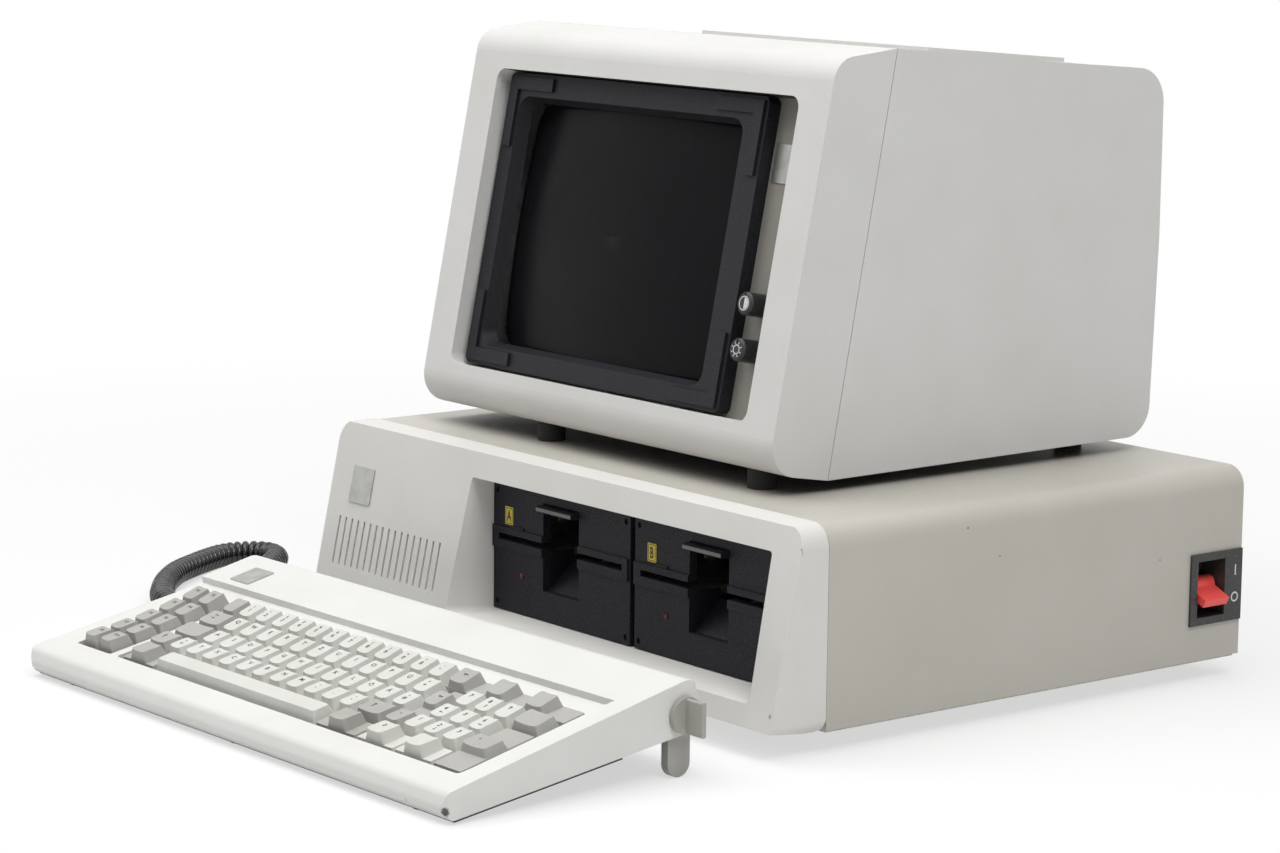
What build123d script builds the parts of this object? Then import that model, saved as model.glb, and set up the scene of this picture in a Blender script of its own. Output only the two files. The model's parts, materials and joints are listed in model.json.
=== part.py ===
from build123d import *
import os
from math import atan2, cos, pi, radians, sin, tan

os.makedirs("parts", exist_ok=True)

# ---- where the boxes stand on the desk (mm, +Z up, fronts face -Y) ----
unitX = -5.86              # middle of the system unit, so the whole set is centred on x = 0
unitY = -84.0              # front foot line of the system unit
displayX = unitX - 25.5    # the display stands a little left of the middle
keyboardX = unitX + 16.0
keyboardYaw = -1.3         # the keyboard lies very slightly turned, anticlockwise from above
keyboardTilt = 8.2         # tilt with both feet swung out

# ---- system unit ----
unitWidth = 500.0
unitDepth = 410.0
coverTop = 141.0
coverGauge = 1.2
coverCorner = 14.0
bezelSeam = 45.0           # where the plastic front ends and the steel cover starts
bezelWall = 3.0
bezelCrest = coverTop + 1.0
bezelCrease = 26.0         # how far the front leans back at its top
bezelFoot = 18.5           # height of the front's bottom edge
footHeight = 12.0
coverBottom = footHeight + 2.5
boardTop = footHeight + 12.0  # top face of the main board
boardWidth, boardDepth = 236.0, 305.0
panGauge = 1.4
supplyWidth, supplyDepth = 138.4, 144.9
fanRadius = 38.0
dinRadius = 7.6            # round sockets of the keyboard and cassette leads
ventCount = 17
ventPitch = 7.62
driveWidth = 146.0
driveHeight = 82.6
driveFaceWidth = driveWidth + 3.2
driveFaceHeight = 85.9
drivePitch = driveFaceWidth + 5.0
driveLeft = unitWidth / 2 - 30.6 - drivePitch - driveFaceWidth  # left edge of drive A
driveBottom = 34.1
driveFace = 38.0           # depth of the drives' faces behind the front foot line
diskSlotWidth = driveWidth - 11.2
diskSlotLow, diskSlotHigh = driveBottom + 48.1, driveBottom + 52.5
jackscrewRadius = 1.4

# ---- display ----
displayWidth = 380.0
displayWall = 3.2
apertureWidth = 322.0
apertureHeight = 207.5
panelDepth = 20.0          # the beige inner panel sits this far behind the front
maskDepth = 10.0
maskWidth = 278.5
maskHeight = 204.5
glassWidth = 236.0
glassHeight = 168.2
knobDiameter = 15.0

# ---- keyboard ----
deckSlope = 0.085
deckFront = 19.0
keyPitch = 19.05
keyBase = 13.5
plateTop = 8.0
firstRow = 25.775 + keyPitch / 2           # middle of the front row, back from the front edge
stripFront = firstRow + 4.5 * keyPitch + 15.975  # front lip of the raised strip behind the keys
keyboardRear = stripFront + 53.0
keyboardWidth = 57.2 + 21.25 * keyPitch
functionLeft = -keyboardWidth / 2 + 26.4
mainLeft = functionLeft + 2 * keyPitch + 11.1
keyboardY = unitY - 46.0 - keyboardRear

# ---- cord ----
coilDiameter = 18.0
leadDiameter = 6.0

unit = Plane(origin=(unitX, unitY, 0))
unitSide = Plane(origin=(unitX, unitY, 0), x_dir=(0, 1, 0), z_dir=(1, 0, 0))
unitFront = Plane(origin=(unitX, unitY, 0), x_dir=(1, 0, 0), z_dir=(0, -1, 0))


# one straight block between two corners, in the frame of the part being built
def bar(x0, x1, y0, y1, z0, z1, mode=Mode.ADD):
    with Locations(((x0 + x1) / 2, (y0 + y1) / 2, (z0 + z1) / 2)):
        Box(abs(x1 - x0), abs(y1 - y0), abs(z1 - z0), mode=mode)


# cylinders along Y, X and Z
def round_y(x, y0, y1, z, radius, mode=Mode.ADD):
    with Locations((x, (y0 + y1) / 2, z)):
        Cylinder(radius, abs(y1 - y0), rotation=(90, 0, 0), mode=mode)


def round_x(x0, x1, y, z, radius, mode=Mode.ADD):
    with Locations(((x0 + x1) / 2, y, z)):
        Cylinder(radius, abs(x1 - x0), rotation=(0, 90, 0), mode=mode)


def round_z(x, y, z0, z1, radius, mode=Mode.ADD):
    with Locations((x, y, (z0 + z1) / 2)):
        Cylinder(radius, abs(z1 - z0), mode=mode)


# =============================== system unit ===============================
halfUnit = unitWidth / 2
lean = bezelCrease / (bezelCrest - 1.0 - bezelFoot)
bezelBottom = coverBottom - 1.2
frontOuter = [
    (0, bezelFoot), (bezelSeam - 7, bezelBottom), (bezelSeam - 2, bezelBottom + 2.2),
    (bezelSeam, bezelFoot + 3.5), (bezelSeam, bezelCrest), (bezelCrease, bezelCrest - 1.0),
]
innerLow = bezelWall / cos(atan2(lean, 1))
frontInner = [
    (innerLow + lean * 3, bezelFoot + 3), (bezelSeam - 9, bezelBottom + 3.3),
    (bezelSeam + 5, bezelBottom + 3.3), (bezelSeam + 5, bezelCrest - 3), (bezelCrease + 2.6, bezelCrest - 4),
]
drivesRight = driveLeft + drivePitch + driveFaceWidth
driveTop = driveBottom + driveFaceHeight
openLeft, openRight = driveLeft - 8.5, drivesRight + 8.1
openLow, openHigh = driveBottom - 1.6, driveTop + 9.0
faceLeft, faceRight = driveLeft - 0.6, drivesRight + 2.2
faceLow, faceHigh = driveBottom - 0.7, driveTop + 0.6
with BuildPart() as bezelCavity:
    with BuildSketch(unitFront) as s:
        with Locations((0, (bezelBottom + bezelCrest) / 2)):
            Rectangle(unitWidth - 2 * bezelWall, bezelCrest - bezelBottom - 2 * bezelWall)
        fillet(s.vertices().group_by(Axis.Y)[-1], 12)
        fillet(s.vertices().group_by(Axis.Y)[0], 5)
        with Locations(((openLeft + openRight) / 2, (openLow + openHigh) / 2)):
            RectangleRounded(openRight - openLeft + 5, openHigh - openLow + 5, 6, mode=Mode.SUBTRACT)
    extrude(amount=-(bezelSeam + 5))
    with BuildSketch(unitSide.offset(-halfUnit)):
        Polygon(*frontInner, align=None)
    extrude(amount=unitWidth, mode=Mode.INTERSECT)

with BuildPart() as driveOpening:
    with BuildSketch(unitFront):
        with Locations(((openLeft + openRight) / 2, (openLow + openHigh) / 2)):
            RectangleRounded(openRight - openLeft, openHigh - openLow, 5)
    with BuildSketch(unitFront.offset(-driveFace)):
        with Locations(((faceLeft + faceRight) / 2, (faceLow + faceHigh) / 2)):
            RectangleRounded(faceRight - faceLeft, faceHigh - faceLow, 1)
    loft()
    with BuildSketch(unitFront.offset(-driveFace)):
        with Locations(((faceLeft + faceRight) / 2, (faceLow + faceHigh) / 2)):
            RectangleRounded(faceRight - faceLeft, faceHigh - faceLow, 1)
    extrude(amount=-(bezelSeam + 5 - driveFace))

with BuildPart() as systemBezel:
    with BuildSketch(unitFront) as s:
        with Locations((0, (bezelBottom + bezelCrest) / 2)):
            Rectangle(unitWidth, bezelCrest - bezelBottom)
        fillet(s.vertices().group_by(Axis.Y)[-1], 15)
        fillet(s.vertices().group_by(Axis.Y)[0], 8)
    extrude(amount=-bezelSeam)
    with BuildSketch(unitSide.offset(-halfUnit)):
        Polygon(*frontOuter, align=None)
    extrude(amount=unitWidth, mode=Mode.INTERSECT)
    add(bezelCavity.part, mode=Mode.SUBTRACT)
    add(driveOpening.part, mode=Mode.SUBTRACT)
    with BuildSketch(unitFront.offset(6)):
        for i in range(ventCount):
            with Locations((-halfUnit + 17.5 + ventPitch * i, 59.7)):
                SlotOverall(33.6, 2.1, rotation=90)
    extrude(amount=-30, mode=Mode.SUBTRACT)
systemBezel.part.label = "system_bezel"
export_step(systemBezel.part, "parts/system_bezel.step")

screwPoints = ((-halfUnit + 18, coverBottom + 7.5), (0, coverTop - 7), (halfUnit - 18, coverBottom + 7.5))
paddleX, paddleY, paddleZ = halfUnit - 12, unitDepth - 30, 62.5
with BuildPart() as systemCover:
    with BuildSketch(unitFront.offset(-(bezelSeam + 0.3))) as s:
        with Locations((0, (coverBottom + coverTop) / 2)):
            Rectangle(unitWidth, coverTop - coverBottom)
        fillet(s.vertices().group_by(Axis.Y)[-1], coverCorner)
    extrude(amount=-(unitDepth - bezelSeam - 0.3))
    with BuildSketch(unitFront.offset(-bezelSeam)) as s:
        with Locations((0, (coverTop - coverGauge) / 2)):
            Rectangle(unitWidth - 2 * coverGauge, coverTop - coverGauge)
        fillet(s.vertices().group_by(Axis.Y)[-1], coverCorner - coverGauge)
    extrude(amount=-(unitDepth - bezelSeam - coverGauge), mode=Mode.SUBTRACT)
    with BuildSketch(unitFront.offset(-(unitDepth - 5))) as s:
        with Locations((0, (coverTop - 12) / 2)):
            Rectangle(unitWidth - 24, coverTop - 12)
        fillet(s.vertices().group_by(Axis.Y)[-1], 8)
    extrude(amount=-10, mode=Mode.SUBTRACT)
    with BuildSketch(unitSide.offset(halfUnit - 12)):
        with Locations((paddleY + 8, paddleZ)):
            Rectangle(46, 43)
    extrude(amount=20, mode=Mode.SUBTRACT)
    with BuildSketch(unitFront.offset(-(unitDepth - coverGauge))):
        for x, z in (screwPoints[0], screwPoints[2]):
            with Locations((x, z)):
                Rectangle(22, 13)
    extrude(amount=-coverGauge)
    with BuildSketch(unitFront.offset(-(unitDepth - 5))):
        with Locations(*screwPoints):
            Circle(2.2)
    extrude(amount=-10, mode=Mode.SUBTRACT)
systemCover.part.label = "system_cover"
export_step(systemCover.part, "parts/system_cover.step")

# ---- the pan under the cover: its walls stand just inside the cover's ----
panSide = halfUnit - coverGauge - 2.3
panFloor = footHeight + 0.5 + panGauge
panBack = unitDepth - coverGauge - 0.2
boardLeft, boardRear = -halfUnit + 12, unitDepth - 13
boardRight, boardFront = boardLeft + boardWidth, boardRear - boardDepth
slotX = [boardLeft + 12 + 20.32 * i for i in range(8)]
dinX = (boardRight - 42, boardRight - 12)
dinZ = boardTop + 9
supplyX1, supplyY1, supplyZ0 = panSide - 2.1, panBack - panGauge - 0.3, panFloor + 0.2
supplyX0, supplyY0, supplyZ1 = supplyX1 - supplyWidth, supplyY1 - supplyDepth, coverTop - 7
fanX, fanZ = supplyX1 - 58.4, supplyZ0 + 67.9
inletX, inletZ = supplyX0 + 20, (supplyZ0 + 24.9, supplyZ0 + 58.9)
slotLow, slotHigh = boardTop + 8.5, coverTop - 17
with BuildPart(unit) as basePan:
    bar(-panSide, panSide, bezelSeam + 3, panBack, footHeight + 0.5, panFloor)
    bar(-panSide, panSide, bezelSeam + 3, bezelSeam + 3 + panGauge, panFloor - 0.4, 30)
    bar(-panSide, -panSide + panGauge, bezelSeam + 3, panBack, panFloor - 0.4, 26)
    bar(panSide - panGauge, panSide, bezelSeam + 3, panBack, panFloor - 0.4, 26)
    bar(-panSide, panSide, panBack - panGauge, panBack, panFloor - 0.4, coverTop - 17)
    bar(-panSide + 10.5, panSide - 10.5, panBack - panGauge, panBack, coverTop - 18, coverTop - 3)
    bar(supplyX0 + 1.5, supplyX1 - 4.4, panBack - 9, panBack + 4, supplyZ0 + 5.9,
        fanZ + fanRadius + 1.5, mode=Mode.SUBTRACT)
    for x in slotX:
        bar(x - 7, x + 7, panBack - 9, panBack + 4, slotLow, slotHigh, mode=Mode.SUBTRACT)
    for x in dinX:
        round_y(x, panBack - 9, panBack + 4, dinZ, dinRadius + 2.9, mode=Mode.SUBTRACT)
    for x, z in screwPoints:
        round_y(x, panBack - 9, panBack + 4, z, 2.2, mode=Mode.SUBTRACT)
    for x in (-155, -65, 35):
        with BuildSketch(Plane(origin=(unitX, unitY, footHeight))):
            for k in range(8):
                with Locations((x, 70 + 9 * k)):
                    SlotOverall(60, 3)
        extrude(amount=4, mode=Mode.SUBTRACT)
    bar(panSide - 5.5, panSide + 3.5, paddleY - 16, panBack + 4, paddleZ - 22.5, paddleZ + 22.5,
        mode=Mode.SUBTRACT)
basePan.part.label = "base_pan"
export_step(basePan.part, "parts/base_pan.step")

with BuildPart(unit) as systemFeet:
    for x in (-halfUnit + 78, halfUnit - 78):
        for y in (bezelSeam + 30, unitDepth - 65):
            with Locations((x, y, 0)):
                Cone(9, 11, footHeight + 0.5, align=(Align.CENTER, Align.CENTER, Align.MIN))
                Cylinder(4, 5, align=(Align.CENTER, Align.CENTER, Align.MIN), mode=Mode.SUBTRACT)
systemFeet.part.label = "system_feet"
export_step(systemFeet.part, "parts/system_feet.step")

with BuildPart(unit) as coverScrews:
    for x, z in screwPoints:
        round_y(x, unitDepth, unitDepth + 3, z, 4.5)
        bar(x - 5, x + 5, unitDepth + 2, unitDepth + 4, z - 0.6, z + 0.6, mode=Mode.SUBTRACT)
        round_y(x, unitDepth - 7, unitDepth + 0.5, z, 1.8)
coverScrews.part.label = "cover_screws"
export_step(coverScrews.part, "parts/cover_screws.step")

# ---- boards, cards and supply inside the system unit ----
with BuildPart(unit) as motherboard:
    bar(boardLeft, boardRight, boardFront, boardRear, boardTop - 1.6, boardTop)
    for x in (boardLeft + 8, boardLeft + 118, boardRight - 8):
        for y in (boardFront + 8, boardFront + 153, boardRear - 7):
            round_z(x, y, panFloor, boardTop - 1.0, 3.2)
    for x in slotX:
        bar(x - 4.5, x + 4.5, boardRear - 97, boardRear - 9, boardTop - 0.5, boardTop + 12)
        bar(x - 1.1, x + 1.1, boardRear - 94, boardRear - 12, boardTop + 4, boardTop + 14, mode=Mode.SUBTRACT)
    for i in range(9):
        for j in range(4):
            x, y = boardLeft + 6 + 11 * i, boardFront + 8 + 26 * j
            bar(x, x + 7, y, y + 20, boardTop - 0.5, boardTop + 4)
    for dx, dy, w, d in ((130, 20, 18, 52), (154, 20, 18, 52), (178, 18, 16, 38), (200, 18, 12, 30)):
        x, y = boardLeft + dx, boardFront + dy
        bar(x - w / 2, x + w / 2, y - 6, y + d, boardTop - 0.5, boardTop + 4.5)
    for i in range(5):
        x, y = boardLeft + 126 + 17 * i, boardFront + 98
        bar(x, x + 10, y, y + 26, boardTop - 0.5, boardTop + 4)
        bar(x, x + 10, y + 38, y + 64, boardTop - 0.5, boardTop + 4)
    for x in dinX:
        bar(x - 10, x + 10, boardRear - 11, panBack - panGauge - 0.6, boardTop - 0.5, dinZ + 11)
        round_y(x, boardRear - 1, panBack, dinZ, dinRadius, mode=Mode.SUBTRACT)
motherboard.part.label = "motherboard"
export_step(motherboard.part, "parts/motherboard.step")

cardSlots = (slotX[1], slotX[4])
bracketFront = panBack - panGauge - 1.8
# each port: slot, height, flange length, jackscrew spacing, shell length
ports = ((cardSlots[0], 105.0, 30.8, 24.99, 16.9), (cardSlots[0], 60.0, 53.0, 47.04, 38.4),
         (cardSlots[1], 78.0, 69.3, 63.5, 55.3))
with BuildPart(unit) as expansionCards:
    for x, length in ((cardSlots[0], 256), (cardSlots[1], 236)):
        front = bracketFront + 0.6 - length
        bar(x - 0.8, x + 0.8, front, bracketFront + 0.6, boardTop + 14.2, coverTop - 9)
        bar(x - 0.8, x + 0.8, boardRear - 91, boardRear - 15, boardTop + 5, boardTop + 15)
        bar(x - 9, x + 9, bracketFront, bracketFront + 1.4, slotLow - 2.5, slotHigh + 4)
        for k in range(4):
            bar(x + 0.5, x + 4.6, front + 12 + 48 * k, front + 40 + 48 * k, 62, 72)
            bar(x + 0.5, x + 4.6, front + 12 + 48 * k, front + 40 + 48 * k, 92, 102)
    for x, z, flange, spacing, shell in ports:
        bar(x - 6.25, x + 6.25, bracketFront + 0.6, bracketFront + 4, z - flange / 2, z + flange / 2)
        bar(x - 4.2, x + 4.2, bracketFront + 3.6, bracketFront + 7.6, z - shell / 2, z + shell / 2)
        bar(x - 5, x + 5, bracketFront - 7.4, bracketFront + 0.6, z - shell / 2, z + shell / 2)
        for end in (-1, 1):
            round_y(x, bracketFront - 3.4, bracketFront + 7, z + end * spacing / 2, jackscrewRadius,
                    mode=Mode.SUBTRACT)
expansionCards.part.label = "expansion_cards"
export_step(expansionCards.part, "parts/expansion_cards.step")

with BuildPart(unit) as slotCovers:
    for x in slotX:
        if x not in cardSlots:
            bar(x - 9, x + 9, bracketFront, bracketFront + 1.4, slotLow - 2.5, slotHigh + 4)
            bar(x - 6.4, x + 6.4, bracketFront + 1.2, bracketFront + 2.6, slotLow + 3.5, slotHigh - 2)
slotCovers.part.label = "slot_covers"
export_step(slotCovers.part, "parts/slot_covers.step")

with BuildPart(unit) as powerSupply:
    bar(supplyX0, supplyX1, supplyY0, supplyY1, supplyZ0, supplyZ1)
    bar(supplyX0 + 1.2, supplyX1 - 1.2, supplyY0 + 1.2, supplyY1 - 1.2, supplyZ0 + 1.2, supplyZ1 - 1.2,
        mode=Mode.SUBTRACT)
    bar(fanX - fanRadius - 2, fanX + fanRadius + 2, supplyY1 - 27, supplyY1 - 0.6, fanZ - fanRadius - 2,
        fanZ + fanRadius + 2)
    round_y(fanX, supplyY1 - 30, supplyY1 - 1.2, fanZ, fanRadius, mode=Mode.SUBTRACT)
    for k in range(4):
        r = 9 + (fanRadius - 14) / 3 * k
        with BuildSketch(Plane(origin=(unitX + fanX, unitY + supplyY1 + 1, fanZ), x_dir=(1, 0, 0),
                               z_dir=(0, -1, 0))):
            Circle(r + 4.6)
            Circle(r, mode=Mode.SUBTRACT)
            Rectangle(3.4, 3 * fanRadius, mode=Mode.SUBTRACT)
            Rectangle(3 * fanRadius, 3.4, mode=Mode.SUBTRACT)
        extrude(amount=3, mode=Mode.SUBTRACT)
    round_y(fanX, supplyY1 - 4.7, supplyY1 - 0.6, fanZ, 6)
    bar(supplyX1 - 6, supplyX1 + 6, paddleY - 15.5, supplyY1 - 1.7, paddleZ - 22, paddleZ + 22,
        mode=Mode.SUBTRACT)
    for z in inletZ:
        bar(inletX - 16, inletX + 16, supplyY1 - 3, supplyY1 + 3, z - 13, z + 13, mode=Mode.SUBTRACT)
    round_y(screwPoints[2][0], supplyY1 - 3, supplyY1 + 3, screwPoints[2][1], 2.4, mode=Mode.SUBTRACT)
    for k in range(9):
        y = supplyY0 + 16 + 12 * k
        bar(supplyX0 - 2, supplyX0 + 3, y, y + 5, 40, 110, mode=Mode.SUBTRACT)
    floor = supplyZ0 + 7.9
    bar(supplyX0 + 6, supplyX1 - 14.4, supplyY0 + 10, supplyY0 + 110, floor, floor + 1.6)
    bar(supplyX0 + 6, supplyX0 + 10, supplyY0 + 10, supplyY0 + 110, supplyZ0 + 0.9, floor + 0.5)
    bar(supplyX1 - 18.4, supplyX1 - 14.4, supplyY0 + 10, supplyY0 + 100, supplyZ0 + 0.9, floor + 0.5)
    bar(supplyX0 + 34, supplyX0 + 80, supplyY0 + 28, supplyY0 + 68, floor + 1, floor + 38)
    round_z(supplyX0 + 100, supplyY0 + 38, floor + 1, floor + 40, 12)
    round_z(supplyX0 + 100, supplyY0 + 70, floor + 1, floor + 40, 12)
powerSupply.part.label = "power_supply"
export_step(powerSupply.part, "parts/power_supply.step")

with BuildPart(unit) as fanRotor:
    round_y(fanX, supplyY1 - 24, supplyY1 - 5, fanZ, 15)
    for k in range(7):
        with Locations(Location((fanX, supplyY1 - 14.5, fanZ), (0, k * 360 / 7, 0))):
            with Locations(Location(((fanRadius + 12) / 2, 0, 0), (35, 0, 0))):
                Box(fanRadius - 16, 2.0, 15)
fanRotor.part.label = "fan_rotor"
export_step(fanRotor.part, "parts/fan_rotor.step")

with BuildPart(unit) as powerInlets:
    for z in inletZ:
        bar(inletX - 15, inletX + 15, supplyY1 - 20.9, supplyY1 + 1.1, z - 12, z + 12)
        bar(inletX - 17, inletX + 17, supplyY1 + 0.2, supplyY1 + 4.6, z - 15, z + 15)
        bar(inletX - 12, inletX + 12, supplyY1 - 14.9, supplyY1 + 5, z - 8, z + 8, mode=Mode.SUBTRACT)
        for dx in (-7, 0, 7):
            lift = 3 if dx == 0 else 0
            bar(inletX + dx - 1, inletX + dx + 1, supplyY1 - 15.9, supplyY1 + 1.1, z - 3 + lift, z + 3 + lift)
powerInlets.part.label = "power_inlets"
export_step(powerInlets.part, "parts/power_inlets.step")

with BuildPart(unit) as switchFrame:
    bar(halfUnit + 0.1, halfUnit + 1.7, paddleY - 19, paddleY + 29.4, paddleZ - 24, paddleZ + 24)
    bar(halfUnit - 21, halfUnit + 1, paddleY - 14.4, paddleY + 24, paddleZ - 20.5, paddleZ + 20.5)
    bar(halfUnit - 19.4, halfUnit + 3, paddleY - 12.8, paddleY + 13, paddleZ - 18.9, paddleZ + 18.9,
        mode=Mode.SUBTRACT)
    for y in (paddleY - 13.4, paddleY + 12):
        bar(halfUnit - 20, halfUnit - 8, y, y + 1.2, paddleZ - 6.5, paddleZ + 6.5)
switchFrame.part.label = "switch_frame"
export_step(switchFrame.part, "parts/switch_frame.step")

with BuildPart(unit) as switchPaddle:
    round_y(paddleX, paddleY - 11.7, paddleY + 11.7, paddleZ, 6.2)
    with Locations(Location((paddleX, paddleY, paddleZ), (0, 25, 0))):
        with Locations((10.5, 0, 0)):
            Box(20, 22.6, 5.4)
switchPaddle.part.label = "switch_paddle"
export_step(switchPaddle.part, "parts/switch_paddle.step")

speakerX, speakerY, speakerZ = -halfUnit + 78, bezelSeam - 11, 66.0
with BuildPart(unit) as speaker:
    round_y(speakerX, speakerY, speakerY + 3, speakerZ, 28.5)
    with Locations(Location((speakerX, speakerY + 3, speakerZ), (-90, 0, 0))):
        Cone(27, 15, 12, align=(Align.CENTER, Align.CENTER, Align.MIN))
    round_y(speakerX, speakerY + 14, speakerY + 26, speakerZ, 16)
    with Locations(Location((speakerX, speakerY - 0.1, speakerZ), (-90, 0, 0))):
        Cone(24, 6, 9, align=(Align.CENTER, Align.CENTER, Align.MIN), mode=Mode.SUBTRACT)
    bar(speakerX - 8, speakerX + 8, speakerY + 16.2, speakerY + 24, panFloor + 0.1, speakerZ - 10)
    bar(speakerX - 16, speakerX + 16, speakerY + 16.2, speakerY + 36, panFloor + 0.1, panFloor + 2.1)
speaker.part.label = "speaker"
export_step(speaker.part, "parts/speaker.step")

# ---- the two full-height drives ----
deckZ = driveBottom + 45.9                 # top of the plate the disk lies over
leverPivotY, leverPivotZ = driveFace + 22, driveTop - 9.6
lampDX, lampZ = 32.3, driveBottom + 26.4
notch, leverHalf = 19.5, 19.1
for name, shift in (("a", 0.0), ("b", drivePitch)):
    left = driveLeft + shift
    right = left + driveFaceWidth
    mid = left + driveFaceWidth / 2
    cx = mid + 0.4
    f = driveFace
    wallLeft, wallRight = mid - driveWidth / 2, mid + driveWidth / 2
    with BuildPart(unit) as driveChassis:
        bar(wallLeft, wallRight, f + 6.2, f + 206, driveBottom + 1.5, driveBottom + 1.5 + driveHeight)
        bar(wallLeft + 3, wallRight - 3, f + 2, f + 202, deckZ, deckZ + 54, mode=Mode.SUBTRACT)
        bar(wallLeft + 3, wallRight - 3, f + 24, f + 202, driveBottom - 2, deckZ - 6, mode=Mode.SUBTRACT)
        bar(cx - 24, cx + 24, f + 2, f + 46, deckZ - 36, deckZ + 14, mode=Mode.SUBTRACT)
        round_y(left + lampDX, f + 2, f + 16, lampZ, 3.6, mode=Mode.SUBTRACT)
        for x in (cx - 22.5, cx + notch):
            bar(x, x + 3, f + 14, f + 46, leverPivotZ - 10.4, leverPivotZ + 6.3)
            round_x(x - 1, x + 4, leverPivotY, leverPivotZ, 2.1, mode=Mode.SUBTRACT)
        bar(wallLeft + 1, wallRight - 1, f + 28, f + 58, leverPivotZ + 4.8, leverPivotZ + 6.3)
        round_z(mid, f + 112, deckZ - 20, deckZ - 5, 34)
        round_z(mid, f + 112, deckZ - 1, diskSlotLow - 0.2, 14)
        for x in (mid - 26, mid + 26):
            round_x(x - 3, x + 3, f + 172, deckZ + 8, 3)
            bar(x - 3, x + 3, f + 148, f + 198, deckZ, deckZ + 6)
        bar(mid - 20, mid + 20, f + 158, f + 182, deckZ, deckZ + 14)
        bar(wallLeft + 1, wallRight - 1, f + 66, f + 200, deckZ + 31, deckZ + 32.6)
        for k in range(5):
            x = mid - 60 + 24 * k
            bar(x, x + 14, f + 82, f + 112, deckZ + 32, deckZ + 36)
            bar(x, x + 14, f + 138, f + 168, deckZ + 32, deckZ + 36)
        round_x(cx - 20, cx + 20, f + 52, deckZ - 0.2, 2)
    driveChassis.part.label = "drive_%s_chassis" % name
    export_step(driveChassis.part, "parts/drive_%s_chassis.step" % name)

    with BuildPart(unit) as driveFaceplate:
        bar(left, right, f, f + 6, driveBottom, driveTop)
        bar(left, cx - notch, f - 1.4, f + 1, deckZ - 3.7, deckZ + 11)
        bar(cx + notch - 2.5, right - 1.7, f - 1.4, f + 1, deckZ - 3.7, deckZ + 11)
        bar(cx - notch, cx + notch, f - 5, f + 8, driveBottom + 19.9, driveTop - 6.6, mode=Mode.SUBTRACT)
        bar(mid - diskSlotWidth / 2, mid + diskSlotWidth / 2, f - 5, f + 8, diskSlotLow, diskSlotHigh,
            mode=Mode.SUBTRACT)
        with BuildSketch(unitSide.offset(cx - notch - 2)):
            Polygon((f + 5, deckZ - 28.4), (f + 5, deckZ - 26), (f + 26, deckZ - 7), (f + 26, deckZ - 9.6),
                    align=None)
        extrude(amount=2 * notch + 4)
        for x in (cx - notch - 2, cx + notch):
            with BuildSketch(unitSide.offset(x)):
                Polygon((f + 5, deckZ - 28), (f + 26, deckZ - 9), (f + 26, deckZ), (f + 5, deckZ), align=None)
            extrude(amount=2)
        round_y(left + lampDX, f - 2, f + 8, lampZ, 2.1, mode=Mode.SUBTRACT)
        bar(left + 20, left + 34, f - 0.8, f + 1, deckZ + 11, deckZ + 13)
        for x in (left + 4.5, right - 4.5):
            for z in (driveBottom + 5, driveTop - 5):
                round_y(x, f - 1, f + 1.5, z, 2.0, mode=Mode.SUBTRACT)
    driveFaceplate.part.label = "drive_%s_faceplate" % name
    export_step(driveFaceplate.part, "parts/drive_%s_faceplate.step" % name)

    with BuildPart(unit) as driveLever:
        with BuildSketch(unitSide.offset(cx - leverHalf)):
            Polygon((f - 6.6, leverPivotZ - 1.4), (f - 5.6, leverPivotZ - 2),
                    (leverPivotY, leverPivotZ - 3.2), (leverPivotY, leverPivotZ + 2.8),
                    (f - 5, leverPivotZ + 2), (f - 6.6, leverPivotZ + 1.2), align=None)
        extrude(amount=2 * leverHalf)
        round_x(cx - leverHalf, cx + leverHalf, leverPivotY, leverPivotZ, 3.4)
        round_x(cx - notch - 2.9, cx + notch + 2.9, leverPivotY, leverPivotZ, 1.7)
    driveLever.part.label = "drive_%s_lever" % name
    export_step(driveLever.part, "parts/drive_%s_lever.step" % name)

with BuildPart(unit) as driveLamps:
    for x in (driveLeft + lampDX, driveLeft + drivePitch + lampDX):
        round_y(x, driveFace - 0.6, driveFace + 7, lampZ, 1.8)
        round_y(x, driveFace + 6.1, driveFace + 9, lampZ, 3.0)
driveLamps.part.label = "drive_lamps"
export_step(driveLamps.part, "parts/drive_lamps.step")

frontLean = atan2(lean, 1)
leanPlane = Plane(origin=(unitX, unitY, bezelFoot), x_dir=(1, 0, 0),
                  z_dir=(0, -cos(frontLean), sin(frontLean)))
with BuildPart() as systemBadge:
    with BuildSketch(leanPlane):
        with Locations((-halfUnit + 37.8, (100.1 - bezelFoot) / cos(frontLean))):
            RectangleRounded(25.4, 25.4, 1.2)
    extrude(amount=0.9)
systemBadge.part.label = "system_badge"
export_step(systemBadge.part, "parts/system_badge.step")

# ================================= display =================================
displayZ = coverTop - 3.3    # the display's own heights are counted from here
display = Plane(origin=(displayX, unitY, displayZ))
displaySide = Plane(origin=(displayX, unitY, displayZ), x_dir=(0, 1, 0), z_dir=(1, 0, 0))
footY, footZ, browY, browZ = 67.8, 19.6, 119.4, 276.3
faceAngle = atan2(browY - footY, browZ - footZ)
faceZ = 150.0
faceY = footY + (faceZ - footZ) * tan(faceAngle)
face = Plane(origin=(displayX, unitY + faceY, displayZ + faceZ), x_dir=(1, 0, 0),
             z_dir=(0, -cos(faceAngle), sin(faceAngle)))
displayOutline = [(footY, footZ), (browY, browZ), (169.6, 281.6), (330, 267.3), (411, 261), (411.3, 149),
                  (406.5, 13.3), (117.9, 11.1)]
displayCorners = (((footY, footZ), 21), ((browY, browZ), 18), ((411, 261), 24), ((406.5, 13.3), 22))
seamLean = (169.6 - 117.9) / (281.6 - 11.1)
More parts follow.
